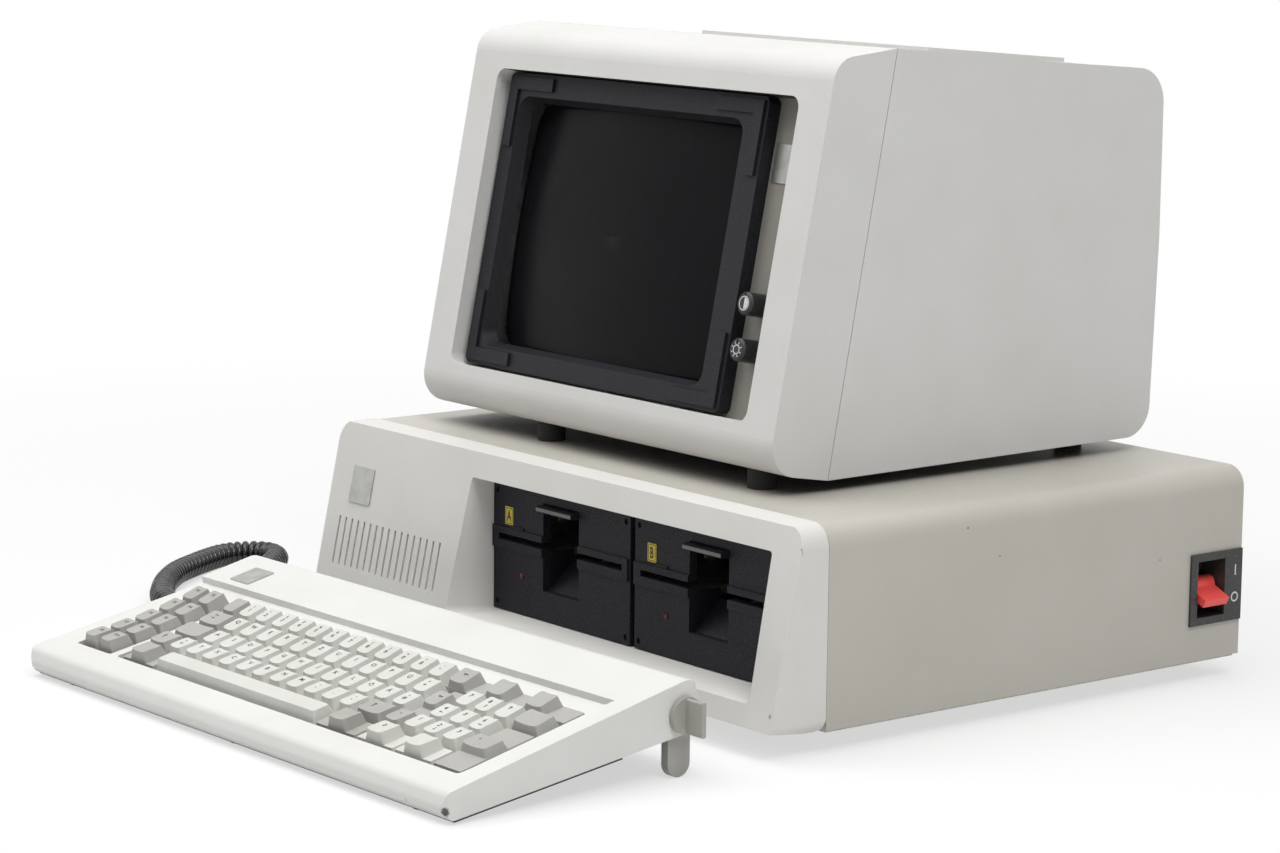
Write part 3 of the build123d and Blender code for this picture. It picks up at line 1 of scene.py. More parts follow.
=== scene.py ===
import bpy
import json
from math import atan, atan2, cos, pi, radians, sin, sqrt, tan
from mathutils import Matrix, Vector


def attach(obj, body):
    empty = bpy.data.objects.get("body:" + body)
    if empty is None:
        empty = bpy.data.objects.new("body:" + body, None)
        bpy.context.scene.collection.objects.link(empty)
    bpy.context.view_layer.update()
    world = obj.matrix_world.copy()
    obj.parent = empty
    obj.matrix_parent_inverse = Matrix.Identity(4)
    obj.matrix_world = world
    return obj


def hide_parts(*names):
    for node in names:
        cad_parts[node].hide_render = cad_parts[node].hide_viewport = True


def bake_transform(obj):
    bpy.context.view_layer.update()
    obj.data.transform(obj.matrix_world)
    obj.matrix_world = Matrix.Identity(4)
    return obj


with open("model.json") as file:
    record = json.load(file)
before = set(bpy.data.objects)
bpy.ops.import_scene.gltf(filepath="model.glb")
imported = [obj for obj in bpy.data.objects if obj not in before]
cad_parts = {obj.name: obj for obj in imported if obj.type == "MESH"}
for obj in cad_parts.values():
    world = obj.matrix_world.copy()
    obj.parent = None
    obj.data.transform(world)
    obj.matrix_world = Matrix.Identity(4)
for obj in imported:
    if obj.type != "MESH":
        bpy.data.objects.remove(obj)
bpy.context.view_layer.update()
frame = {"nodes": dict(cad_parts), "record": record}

print("frame loaded,", len(frame["nodes"]), "nodes")
bpy.context.scene.view_settings.view_transform = "Standard"

# where the boxes stand, in mm; the same figures as in the part
layout = {
    "unitX": -5.86, "unitY": -84.0,
    "displayX": -31.36, "displayZ": 137.7,
    "keyboardX": 10.14, "keyboardY": -320.0,
    "yaw": -1.3, "tilt": 8.2, "deckSlope": 0.085,
    "pitch": 19.05,  # key pitch
}


def desk(x, y, z):  # a point in the system unit's own mm
    return Vector((x + layout["unitX"], y + layout["unitY"], z)) / 1000


yaw, tilt, rise = radians(layout["yaw"]), radians(layout["tilt"]), atan(layout["deckSlope"])
across = Vector((cos(yaw), -sin(yaw), 0))
along = Vector((sin(yaw) * cos(tilt), cos(yaw) * cos(tilt), sin(tilt)))
upward = Vector((-sin(yaw) * sin(tilt), -cos(yaw) * sin(tilt), cos(tilt)))
deckNormal = upward * cos(rise) - along * sin(rise)
deckAlong = along * cos(rise) + upward * sin(rise)
keyboardFoot = Vector((layout["keyboardX"], layout["keyboardY"], 0)) / 1000


def board(x, y, z):  # a point in the keyboard's own mm
    return keyboardFoot + (across * x + along * y + upward * z) / 1000


cameraFacts = {
    "azimuth": 51.812, "elevation": 9.262, "roll": 0.600,  # degrees
    "distance": 2438.2, "aimAcross": -83.83, "aimUp": 155.0,  # mm
    "aimFrom": (0, 200, 0),  # the unit's own mm
    "lens": 100.72, "sensor": 36.0, "shiftX": 0.00258, "shiftY": -0.00259,
    "clipNear": 0.05, "clipFar": 60.0,  # metres
}


def placeCamera(facts):
    azimuth, elevation, roll = (radians(facts[k]) for k in ("azimuth", "elevation", "roll"))
    back = Vector((sin(azimuth) * cos(elevation), -cos(azimuth) * cos(elevation), sin(elevation)))
    level = Vector((cos(azimuth), sin(azimuth), 0))
    top = back.cross(level)
    right = level * cos(roll) + top * sin(roll)
    up = top * cos(roll) - level * sin(roll)
    aim = desk(*facts["aimFrom"]) + level * facts["aimAcross"] / 1000 + Vector((0, 0, facts["aimUp"] / 1000))
    data = bpy.data.cameras.new("viewCamera")
    data.lens, data.sensor_width = facts["lens"], facts["sensor"]
    data.shift_x, data.shift_y = facts["shiftX"], facts["shiftY"]
    data.clip_start, data.clip_end = facts["clipNear"], facts["clipFar"]
    camera = bpy.data.objects.new("viewCamera", data)
    bpy.context.scene.collection.objects.link(camera)
    place = Matrix((right, up, back)).transposed().to_4x4()
    place.translation = aim + back * facts["distance"] / 1000
    camera.matrix_world = place
    bpy.context.scene.camera = camera


placeCamera(cameraFacts)
print("camera placed")


def tone(hexText, alpha=1.0):  # sRGB text to linear colour
    parts = [int(hexText[i:i + 2], 16) / 255 for i in (1, 3, 5)]
    return [p / 12.92 if p <= 0.04045 else ((p + 0.055) / 1.055) ** 2.4 for p in parts] + [alpha]


def newFinish(name, colour, roughness, metallic=0.0, specular=0.5):
    material = bpy.data.materials.new(name)
    material.use_nodes = True
    tree = material.node_tree
    shader = tree.nodes["Principled BSDF"]
    shader.inputs["Base Color"].default_value = tone(colour)
    shader.inputs["Roughness"].default_value = roughness
    shader.inputs["Metallic"].default_value = metallic
    shader.inputs["Specular IOR Level"].default_value = specular
    material.diffuse_color = tone(colour)
    return material, tree, shader


def noise(tree, size, detail=2.0, stretch=(1, 1, 1)):  # size of one blotch in mm
    coords = tree.nodes.new("ShaderNodeTexCoord")
    mapping = tree.nodes.new("ShaderNodeMapping")
    mapping.inputs["Scale"].default_value = stretch
    field = tree.nodes.new("ShaderNodeTexNoise")
    field.inputs["Scale"].default_value = 1000 / size
    field.inputs["Detail"].default_value = detail
    tree.links.new(coords.outputs["Object"], mapping.inputs["Vector"])
    tree.links.new(mapping.outputs["Vector"], field.inputs["Vector"])
    return field.outputs["Fac"]


def spread(tree, value, low, high, outLow=0.0, outHigh=1.0):
    node = tree.nodes.new("ShaderNodeMapRange")
    for key, number in (("From Min", low), ("From Max", high), ("To Min", outLow), ("To Max", outHigh)):
        node.inputs[key].default_value = number
    tree.links.new(value, node.inputs["Value"])
    return node.outputs["Result"]


def mixTone(tree, factor, first, second):  # colours as hex text or sockets
    node = tree.nodes.new("ShaderNodeMix")
    node.data_type = "RGBA"
    tree.links.new(factor, node.inputs["Factor"])
    for socket, colour in ((node.inputs[6], first), (node.inputs[7], second)):
        if isinstance(colour, str):
            socket.default_value = tone(colour)
        else:
            tree.links.new(colour, socket)
    return node.outputs[2]


def relief(tree, shader, height, depth):  # depth in mm
    node = tree.nodes.new("ShaderNodeBump")
    node.inputs["Distance"].default_value = depth / 1000
    tree.links.new(height, node.inputs["Height"])
    tree.links.new(node.outputs["Normal"], shader.inputs["Normal"])


# sizes in mm; a range says from where to where the noise changes the colour
plasticFacts = {
    "cloudSize": 55, "cloudRange": (0.38, 0.72), "glintFleckSize": 1.1, "glintFleckRange": (0.56, 0.70),
    # the down range sets where the painted shade on downward faces fades in
    "shadeDownRange": (-0.93, -0.98), "grainRange": (0.3, 0.7), "smoother": 0.06, "rougher": 0.08,
}


def mouldedPlastic(name, colour, shade, roughness=0.55, grain=0.7, depth=0.035, glintFleck=None,
                   paintedUnderShade=None, specular=0.5):
    facts = plasticFacts
    material, tree, shader = newFinish(name, colour, roughness, specular=specular)
    cloud = spread(tree, noise(tree, facts["cloudSize"], 4), *facts["cloudRange"])
    colourOut = mixTone(tree, cloud, colour, shade)
    if glintFleck:  # pale flecks painted into the colour as glints of the grain on dark plastic
        glintSpeck = spread(tree, noise(tree, facts["glintFleckSize"], 1), *facts["glintFleckRange"])
        colourOut = mixTone(tree, glintSpeck, colourOut, glintFleck)
    if paintedUnderShade:  # painted shade: a dark colour where it faces straight down
        facing = tree.nodes.new("ShaderNodeSeparateXYZ")
        tree.links.new(tree.nodes.new("ShaderNodeNewGeometry").outputs["Normal"], facing.inputs[0])
        shadeDownMask = spread(tree, facing.outputs["Z"], *facts["shadeDownRange"])
        colourOut = mixTone(tree, shadeDownMask, colourOut, paintedUnderShade)
    tree.links.new(colourOut, shader.inputs["Base Color"])
    fine = noise(tree, grain, 3)
    sheen = spread(tree, fine, *facts["grainRange"], roughness - facts["smoother"],
                   roughness + facts["rougher"])
    tree.links.new(sheen, shader.inputs["Roughness"])
    relief(tree, shader, fine, depth)
    return material


paintFacts = {
    "cloudSize": 90, "cloudRange": (0.35, 0.75), "dustSize": 3.2, "dustRange": (0.66, 0.78), "dustMost": 0.5,
    "wrinkleSize": 1.3, "wrinkleRange": (0.3, 0.7), "wrinkleDepth": 0.06, "smoother": 0.08, "rougher": 0.1,
}


def texturedPaint(name, colour, shade, roughness=0.5):
    facts = paintFacts
    material, tree, shader = newFinish(name, colour, roughness)
    cloud = spread(tree, noise(tree, facts["cloudSize"], 5), *facts["cloudRange"])
    dust = spread(tree, noise(tree, facts["dustSize"], 2), *facts["dustRange"], 0.0, facts["dustMost"])
    clouded = mixTone(tree, cloud, colour, shade)
    tree.links.new(mixTone(tree, dust, clouded, shade), shader.inputs["Base Color"])
    wrinkle = noise(tree, facts["wrinkleSize"], 4)
    sheen = spread(tree, wrinkle, *facts["wrinkleRange"], roughness - facts["smoother"],
                   roughness + facts["rougher"])
    tree.links.new(sheen, shader.inputs["Roughness"])
    relief(tree, shader, wrinkle, facts["wrinkleDepth"])
    return material


steelFacts = {
    "metallic": 0.9, "spangleSize": 9, "spangleRange": (0.35, 0.7),
    "brushSize": 0.8, "brushStretch": (1, 18, 1), "brushRange": (0.3, 0.7), "brushDepth": 0.01,
    "smoother": 0.08, "rougher": 0.12,
}


def platedSteel(name, colour, shade, roughness=0.38, stretch=(1, 6, 1)):
    facts = steelFacts
    material, tree, shader = newFinish(name, colour, roughness, metallic=facts["metallic"])
    spangle = spread(tree, noise(tree, facts["spangleSize"], 3, stretch), *facts["spangleRange"])
    tree.links.new(mixTone(tree, spangle, colour, shade), shader.inputs["Base Color"])
    brushed = noise(tree, facts["brushSize"], 2, facts["brushStretch"])
    sheen = spread(tree, brushed, *facts["brushRange"], roughness - facts["smoother"],
                   roughness + facts["rougher"])
    tree.links.new(sheen, shader.inputs["Roughness"])
    relief(tree, shader, brushed, facts["brushDepth"])
    return material


boardFacts = {
    "colour": "#2C6B3C", "dark": "#24562F", "track": "#3B8048", "pad": "#A9A68C", "roughness": 0.35,
    "trackSize": 6, "trackStretch": (1, 7, 1), "trackRange": (0.5, 0.54), "trackDepth": 0.03,
    "padSize": 2.6, "padRange": (0.66, 0.68),
}


def circuitBoard(name):
    facts = boardFacts
    material, tree, shader = newFinish(name, facts["colour"], facts["roughness"])
    tracks = spread(tree, noise(tree, facts["trackSize"], 0, facts["trackStretch"]), *facts["trackRange"])
    pads = spread(tree, noise(tree, facts["padSize"], 0), *facts["padRange"])
    layered = mixTone(tree, tracks, facts["dark"], facts["track"])
    tree.links.new(mixTone(tree, pads, layered, facts["pad"]), shader.inputs["Base Color"])
    relief(tree, shader, tracks, facts["trackDepth"])
    return material


vinylFacts = {
    "specular": 0.6, "cloudSize": 14, "cloudRange": (0.4, 0.7), "grainSize": 1.6, "grainRange": (0.3, 0.75),
    "grainDepth": 0.015, "smoother": 0.05, "rougher": 0.12,
}


def glossyVinyl(name, colour, shade, roughness=0.24):
    facts = vinylFacts
    material, tree, shader = newFinish(name, colour, roughness, specular=facts["specular"])
    cloud = spread(tree, noise(tree, facts["cloudSize"], 3), *facts["cloudRange"])
    tree.links.new(mixTone(tree, cloud, colour, shade), shader.inputs["Base Color"])
    fine = noise(tree, facts["grainSize"], 2)
    sheen = spread(tree, fine, *facts["grainRange"], roughness - facts["smoother"],
                   roughness + facts["rougher"])
    tree.links.new(sheen, shader.inputs["Roughness"])
    relief(tree, shader, fine, facts["grainDepth"])
    return material


glassFacts = {
    "colour": "#111013", "dark": "#0F0E11", "pale": "#151417", "roughness": 0.3, "specular": 0.07,
    "cloudSize": 120, "cloudRange": (0.3, 0.75), "hazeSize": 40, "hazeRoughness": (0.24, 0.36),
    "etchSize": 0.5, "etchDepth": 0.002,
}


def tubeGlass(name):
    facts = glassFacts
    material, tree, shader = newFinish(name, facts["colour"], facts["roughness"], specular=facts["specular"])
    cloud = spread(tree, noise(tree, facts["cloudSize"], 2), *facts["cloudRange"])
    tree.links.new(mixTone(tree, cloud, facts["dark"], facts["pale"]), shader.inputs["Base Color"])
    haze = noise(tree, facts["hazeSize"], 5)
    sheen = spread(tree, haze, *facts["cloudRange"], *facts["hazeRoughness"])
    tree.links.new(sheen, shader.inputs["Roughness"])
    relief(tree, shader, noise(tree, facts["etchSize"], 1), facts["etchDepth"])
    return material


inkFacts = {
    "roughness": 0.55, "wornSize": 1.2, "wornRange": (0.45, 0.75), "grainSize": 0.3, "grainDepth": 0.01,
}


def printedInk(name, colour, shade):
    facts = inkFacts
    material, tree, shader = newFinish(name, colour, facts["roughness"])
    worn = spread(tree, noise(tree, facts["wornSize"], 3), *facts["wornRange"])
    tree.links.new(mixTone(tree, worn, colour, shade), shader.inputs["Base Color"])
    relief(tree, shader, noise(tree, facts["grainSize"], 2), facts["grainDepth"])
    return material


markFacts = {"raggedSize": 0.9, "edgeRange": (1.5, 1.1)}


def addMarks(material, marks):  # nicks and scuffs: place and half sizes in the unit's mm, colour
    tree = material.node_tree
    base = tree.nodes["Principled BSDF"].inputs["Base Color"]
    shown = base.links[0].from_socket
    for place, sizes, colour in marks:
        coords = tree.nodes.new("ShaderNodeTexCoord")
        away, scaled, reach = (tree.nodes.new("ShaderNodeVectorMath") for _ in range(3))
        away.operation, scaled.operation, reach.operation = "SUBTRACT", "DIVIDE", "LENGTH"
        away.inputs[1].default_value = desk(*place)
        scaled.inputs[1].default_value = [size / 1000 for size in sizes]
        tree.links.new(coords.outputs["Object"], away.inputs[0])
        tree.links.new(away.outputs[0], scaled.inputs[0])
        tree.links.new(scaled.outputs[0], reach.inputs[0])
        ragged = tree.nodes.new("ShaderNodeMath")
        tree.links.new(reach.outputs["Value"], ragged.inputs[0])
        tree.links.new(noise(tree, markFacts["raggedSize"], 3), ragged.inputs[1])
        shown = mixTone(tree, spread(tree, ragged.outputs[0], *markFacts["edgeRange"]), shown, colour)
    tree.links.new(shown, base)


finishes = {
    "front_plastic": mouldedPlastic("frontPlastic", "#DAD9D5", "#D6D4CF", 0.55, 1.3, 0.08),
    # the display's downward faces get a dark painted shade, standing in for the shade of the gap beneath it
    "display_plastic": mouldedPlastic("displayPlastic", "#D6D5D3", "#D2D1CE", 0.55, 1.4, 0.09,
                                      paintedUnderShade="#2E2D2C"),
    # panel: a warm grey darkened toward the shaded look of its recess; partly the panel's own colour, partly
    # painted shade
    "panel_plastic": mouldedPlastic("panelPlastic", "#8E8B83", "#88857D", 0.6),
    "cover_metal": texturedPaint("coverPaint", "#BDBAB1", "#B6B3A9", 0.42),
    "zinc_steel": platedSteel("zincSteel", "#B4B4B0", "#94948F"),
    "foot_rubber": mouldedPlastic("footRubber", "#232323", "#1B1B1B", 0.8, 1.2, 0.05),
    "screw_steel": platedSteel("screwSteel", "#A6A6A2", "#8B8B87", 0.32),
    "board_green": circuitBoard("boardGreen"),
    # the last colour is pale flecks of painted glint
    "drive_black": mouldedPlastic("driveBlack", "#18181F", "#14141A", 0.58, 1.0, 0.05, "#2F2F37",
                                  specular=0.26),
    "drive_frame": platedSteel("castFrame", "#9C9C9A", "#7F7F7D", 0.5, (1, 1, 1)),
    "lamp_red": glossyVinyl("lampRed", "#6E1A14", "#4C100C"),
    "fan_black": mouldedPlastic("fanBlack", "#1C1C1C", "#161616", 0.5),
    "inlet_black": mouldedPlastic("inletBlack", "#1A1A1A", "#141414", 0.45),
    "paddle_red": mouldedPlastic("paddleRed", "#F2544E", "#E44A45", 0.4, 0.9, 0.02),
    # the last colour is pale flecks of painted glint
    "switch_black": mouldedPlastic("switchBlack", "#343434", "#2B2B2B", 0.5, 0.9, 0.04, "#4A4A49"),
    "speaker_dark": mouldedPlastic("speakerCone", "#1D1D1C", "#2A2927", 0.9, 1.4, 0.1),
    "badge_silver": platedSteel("badgePlate", "#B9B9B5", "#A9A9A4", 0.34, (1, 1, 1)),
    # the last colour is pale flecks of painted glint
    "mask_black": mouldedPlastic("maskBlack", "#18181E", "#141419", 0.55, 0.8, 0.04, "#27272D",
                                 specular=0.3),
    "tube_glass": tubeGlass("tubeGlass"),
    "yoke_copper": platedSteel("yokeCopper", "#B4622C", "#7C3F1D", 0.35, (1, 12, 1)),
    "knob_black": mouldedPlastic("knobBlack", "#222226", "#1B1B1F", 0.42, 0.8, 0.03),
    "pot_metal": platedSteel("potMetal", "#A9A9A5", "#8E8E8A"),
    "keyboard_plastic": mouldedPlastic("keyboardPlastic", "#DEDEDB", "#DAD9D5", 0.6, 1.1, 0.07),
    "key_white": mouldedPlastic("keyWhite", "#D4D4CF", "#CDCCC6", 0.5, 0.5, 0.02),
    "key_grey": mouldedPlastic("keyGrey", "#AEADA8", "#A5A39D", 0.5, 0.5, 0.02),
    "keyboard_steel": texturedPaint("keyboardSteel", "#3A3A39", "#2E2E2D"),
    "foot_grey": mouldedPlastic("footGrey", "#A9A7A0", "#9F9D96", 0.5),
    "cord_black": glossyVinyl("cordBlack", "#0C0C0E", "#131316", 0.2),
    "legend": printedInk("legendInk", "#1C1C1B", "#2C2B29"),
    # a pale grey strip over the front of each drive's lever
    "lever_lip": printedInk("paleLeverFace", "#77756E", "#63615B"),
    "symbol": printedInk("whitePrint", "#D8D8D4", "#C2C2BD"),
    "label_yellow": printedInk("labelYellow", "#D9C444", "#CDB63A"),
}
addMarks(finishes["front_plastic"], [
    ((249.8, 23.6, 127.8), (1.5, 0.35, 3.2), "#8F8C85"), ((247.9, 2.3, 29.2), (1.3, 0.6, 2.2), "#99968E"),
    ((248.6, 5.5, 15.5), (1.3, 1.0, 0.8), "#94918A"), ((246.0, 20.0, 134.5), (2.2, 1.4, 0.8), "#9D9A92")])
addMarks(finishes["keyboard_plastic"], [
    ((244.4, -232.8, 7.4), (3.2, 2.6, 3.6), "#55534F"), ((208.8, -234.8, 7.3), (0.7, 0.7, 0.7), "#7C7A74")])
addMarks(finishes["cover_metal"], [
    ((250.0, 159.3, 127.4), (0.9, 0.9, 0.8), "#4F4C47"), ((250.0, 187.5, 106.4), (0.8, 0.7, 0.7), "#5A5751"),
    ((250.0, 332.1, 86.9), (0.7, 0.6, 0.8), "#5A5751")])
materialOf = {row["node"]: row["material_slot"] for row in frame["record"]["subparts"]}
for nodeName, part in frame["nodes"].items():
    finish = finishes[materialOf[nodeName]]
    if not part.material_slots:
        part.data.materials.append(finish)
    for slot in part.material_slots:
        slot.material = finish
print("finishes on", len(frame["nodes"]), "nodes")


def addPiece(name, vertices, faces, material, body=None, smooth=False):
    mesh = bpy.data.meshes.new(name)
    mesh.from_pydata([tuple(v) for v in vertices], [], faces)
    mesh.update()
    mesh.validate()
    piece = bpy.data.objects.new(name, mesh)
    bpy.context.scene.collection.objects.link(piece)
    mesh.materials.append(material)
    if smooth:
        mesh.polygons.foreach_set("use_smooth", [True] * len(mesh.polygons))
    if body:
        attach(piece, body)
    return piece


# one soft cord from the keyboard's strain relief to the plug at the back of the unit, in mm
cordFacts = {
    "wire": 5.8, "coilRadius": 6.1, "turn": 6.1, "perTurn": 24, "sides": 10,
    "ramp": 1.1,  # turns over which the coil opens and closes
    "closest": 0.8,  # points of the path nearer than this are left out
    "length": 3.7,  # metres of wire, straightened
    "start": (-118, 197, 9.5), "bend": (-142, 197, 9.5),  # these two in the keyboard's own mm
    "lead": [(-151, -33, 9.3), (-181, -33, 9.3)],
    "coil": [(-237, -33, 9.3), (-305, -92, 9.3), (-398, -33, 9.3), (-436, 26, 9.3), (-447, 54, 9.3),
             (-436, 76, 9.3), (-412, 76, 9.3), (-390, 52, 9.3), (-360, 24, 9.3)],
    "tail": [(-342, 7.2, 9.3), (-314, 0, 6.0), (-288, 20, 3.6), (-276, 58, 3.2), (-269, 114, 3.2),
             (-265.5, 176, 3.2), (-264, 238, 3.2), (-264.5, 300, 3.2), (-267, 362, 3.2), (-260, 420, 3.2),
             (-236, 468, 3.2), (-190, 494, 4.0), (-112, 508, 12.0), (-64, 504, 26.0), (-44, 480, 33.0),
             (-44, 452, 33.0)],
}


def routeLine(points):  # the smooth line through a route, read from its NURBS spline
    curve = bpy.data.curves.new("cordRoute", "CURVE")
    curve.dimensions = "3D"
    spline = curve.splines.new("NURBS")
    spline.points.add(len(points) - 1)
    for knot, point in zip(spline.points, points):
        knot.co = (*point, 1.0)
    spline.order_u = 3
    spline.use_endpoint_u = True
    spline.resolution_u = 32
    holder = bpy.data.objects.new("cordRoute", curve)
    bpy.context.scene.collection.objects.link(holder)
    bpy.context.view_layer.update()
    mesh = bpy.data.meshes.new_from_object(holder)
    line = [v.co.copy() for v in mesh.vertices]
    bpy.data.objects.remove(holder)
    bpy.data.meshes.remove(mesh)
    bpy.data.curves.remove(curve)
    return line


def measured(line):
    marks = [0.0]
    for a, b in zip(line, line[1:]):
        marks.append(marks[-1] + (b - a).length)
    return marks


def pointAt(line, marks, s):
    low, high = 0, len(marks) - 1
    while high - low > 1:
        middle = (low + high) // 2
        if marks[middle] <= s:
            low = middle
        else:
            high = middle
    share = (s - marks[low]) / max(marks[high] - marks[low], 1e-9)
    return line[low].lerp(line[high], share), (line[high] - line[low]).normalized()


def curlyPath(facts):
    points = [board(*facts["start"]), board(*facts["bend"])]
    points += [desk(*p) for p in facts["lead"] + facts["coil"] + facts["tail"]]
    line = routeLine(points)
    marks = measured(line)
    coilStart, coilEnd = desk(*facts["lead"][-1]), desk(*facts["coil"][-1])
    first = marks[min(range(len(line)), key=lambda i: (line[i] - coilStart).length)]
    last = marks[min(range(len(line)), key=lambda i: (line[i] - coilEnd).length)]
    path = [p for p, s in zip(line, marks) if s < first]
    turn, radius = facts["turn"] / 1000, facts["coilRadius"] / 1000
    steps = int(round((last - first) / turn * facts["perTurn"]))
    opening = facts["ramp"] * turn
    for i in range(steps + 1):
        s = first + (last - first) * i / steps
        centre, heading = pointAt(line, marks, s)
        side = heading.cross(Vector((0, 0, 1))).normalized()
        top = side.cross(heading)
        ramp = min(1.0, (s - first) / opening, (last - s) / opening)
        swell = radius * ramp * ramp * (3 - 2 * ramp)
        angle = 2 * pi * i / facts["perTurn"]
        path.append(centre + (side * cos(angle) + top * sin(angle)) * swell)
    path += [p for p, s in zip(line, marks) if s > last]
    kept = [path[0]]
    for point in path[1:]:
        if (point - kept[-1]).length > facts["closest"] / 1000:
            kept.append(point)
    return kept


def sweep(path, radius, sides):
    vertices, faces = [], []
    heading = (path[1] - path[0]).normalized()
    side = heading.cross(Vector((0, 0, 1))).normalized()
    for i, point in enumerate(path):
        ahead = (path[min(i + 1, len(path) - 1)] - path[max(i - 1, 0)]).normalized()
        side = (side - ahead * side.dot(ahead)).normalized()
        top = ahead.cross(side)
        for k in range(sides):
            angle = 2 * pi * k / sides
            vertices.append(point + (side * cos(angle) + top * sin(angle)) * radius)
        if i:
            for k in range(sides):
                a, b = (i - 1) * sides + k, (i - 1) * sides + (k + 1) % sides
                faces.append((a, b, b + sides, a + sides))
    faces.append(tuple(range(sides - 1, -1, -1)))
    faces.append(tuple(range((len(path) - 1) * sides, len(path) * sides)))
    return vertices, faces


cordPath = curlyPath(cordFacts)
cordVertices, cordFaces = sweep(cordPath, cordFacts["wire"] / 2000, cordFacts["sides"])
curlyCord = addPiece("curly_cord", cordVertices, cordFaces, finishes["cord_black"], smooth=True)
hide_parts("cord_lead", "cord_coil", "cord_tail")
tuple(cordPath[0])
[tuple(p) for p in cordPath]
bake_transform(curlyCord)
print("cord laid, %.3f m of wire" % measured(cordPath)[-1])


def solidFrom(place, outline, low, high, vertices, faces):  # one thin solid over a flat outline
    base, count = len(vertices), len(outline)
    vertices += [place(u, v, low) for u, v in outline] + [place(u, v, high) for u, v in outline]
    faces.append(tuple(base + i for i in range(count - 1, -1, -1)))
    faces.append(tuple(base + count + i for i in range(count)))
    for i in range(count):
        j = (i + 1) % count
        faces.append((base + i, base + j, base + count + j, base + count + i))


def ringFrom(place, inner, outer, low, high, vertices, faces, steps=40):
    base = len(vertices)
    for i in range(steps):
        angle = 2 * pi * i / steps
        for radius, height in ((inner, low), (outer, low), (outer, high), (inner, high)):
            vertices.append(place(radius * cos(angle), radius * sin(angle), height))
    for i in range(steps):
        a, b = base + 4 * i, base + 4 * ((i + 1) % steps)
        for k in range(4):
            faces.append((a + k, b + k, b + (k + 1) % 4, a + (k + 1) % 4))


def box2(u0, u1, v0, v1):
    return [(u0, v0), (u1, v0), (u1, v1), (u0, v1)]


def roundBox(u0, u1, v0, v1, radius, steps=6):
    outline = []
    for cu, cv, turn in ((u1 - radius, v0 + radius, -90), (u1 - radius, v1 - radius, 0),
                         (u0 + radius, v1 - radius, 90), (u0 + radius, v0 + radius, 180)):
        for i in range(steps + 1):
            angle = radians(turn + 90 * i / steps)
            outline.append((cu + radius * cos(angle), cv + radius * sin(angle)))
    return outline


glyphFacts = {"thick": 0.01, "bolder": 0.022, "smoothness": 3, "capital": 0.73}
glyphCache = {}


def glyph(text):  # mesh of a short text, 1 mm tall capitals, centred on its own middle
    if text not in glyphCache:
        curve = bpy.data.curves.new("glyph", "FONT")
        curve.body = text
        curve.size = 1.0
        curve.resolution_u = glyphFacts["smoothness"]
        curve.extrude = glyphFacts["thick"]
        curve.offset = glyphFacts["bolder"]
        holder = bpy.data.objects.new("glyph", curve)
        bpy.context.scene.collection.objects.link(holder)
        bpy.context.view_layer.update()
        mesh = bpy.data.meshes.new_from_object(holder)
        points = [(v.co.x, v.co.y, 1 if v.co.z > 0 else 0) for v in mesh.vertices]
        faces = [tuple(p.vertices) for p in mesh.polygons]
        bpy.data.objects.remove(holder)
        bpy.data.meshes.remove(mesh)
        bpy.data.curves.remove(curve)
        xs, ys = [p[0] for p in points], [p[1] for p in points]
        centre = ((min(xs) + max(xs)) / 2, (min(ys) + max(ys)) / 2)
        tall = glyphFacts["capital"]
        centred = [((x - centre[0]) / tall, (y - centre[1]) / tall, k) for x, y, k in points]
        glyphCache[text] = (centred, faces)
    return glyphCache[text]


def writeGlyph(place, text, u, v, size, low, high, vertices, faces, wide=1.0):
    points, polygons = glyph(text)
    base = len(vertices)
    for x, y, top in points:
        vertices.append(place(u + x * size * wide, v + y * size, high if top else low))
    faces += [tuple(base + i for i in polygon) for polygon in polygons]


# legends on the keys, in mm
keyFacts = {
    "rows": (35.3, 54.35, 73.4, 92.45, 111.5),  # middle of each row from the front edge, in mm
    "top": (24.8, 23.2, 22.4, 22.8, 24.0), "lean": (-3.0, -1.0, 2.0, 5.0, 8.0),
    "functionLeft": -204.605, "mainLeft": -155.405,
    "letter": 3.3, "small": 2.3, "dish": 0.9, "sunk": -0.12, "proud": 0.05,
    "crownBack": 0.2, "crownLess": 6.45,  # how a key's top sits back and is narrower than its place
    "single": (-2.4, 2.6), "upper": (-2.4, 3.6), "lower": (-2.4, -0.4),  # where the signs stand
}
keyFacts["padLeft"] = keyFacts["mainLeft"] + 14.75 * layout["pitch"]
keyFacts["signLeft"] = keyFacts["padLeft"] + 3 * layout["pitch"]


def crownOf(x, row, units, shift=0.0):  # place(u, v, w) on the dished top of one key
    top, lean = keyFacts["top"][row], radians(keyFacts["lean"][row])
    middle = keyFacts["rows"][row] + keyFacts["crownBack"] + shift
    origin = keyboardFoot + (across * x + deckAlong * middle + deckNormal * top) / 1000
    normal = deckNormal * cos(lean) - deckAlong * sin(lean)
    back = normal.cross(across)
    half = (units * layout["pitch"] - keyFacts["crownLess"]) / 2
    bowl = half * half / (2 * keyFacts["dish"])

    def place(u, v, w):
        height = bowl - keyFacts["dish"] - sqrt(bowl * bowl - u * u) + w
        return origin + (across * u + back * v + normal * height) / 1000
    return place


arrowOutline = [(-1.9, 0), (-0.6, 1.1), (-0.6, 0.35), (1.9, 0.35), (1.9, -0.35), (-0.6, -0.35),
                (-0.6, -1.1)]  # points to the left


def turned(outline, quarter, size=1.0):
    for _ in range(quarter):
        outline = [(-v, u) for u, v in outline]
    return [(u * size, v * size) for u, v in outline]


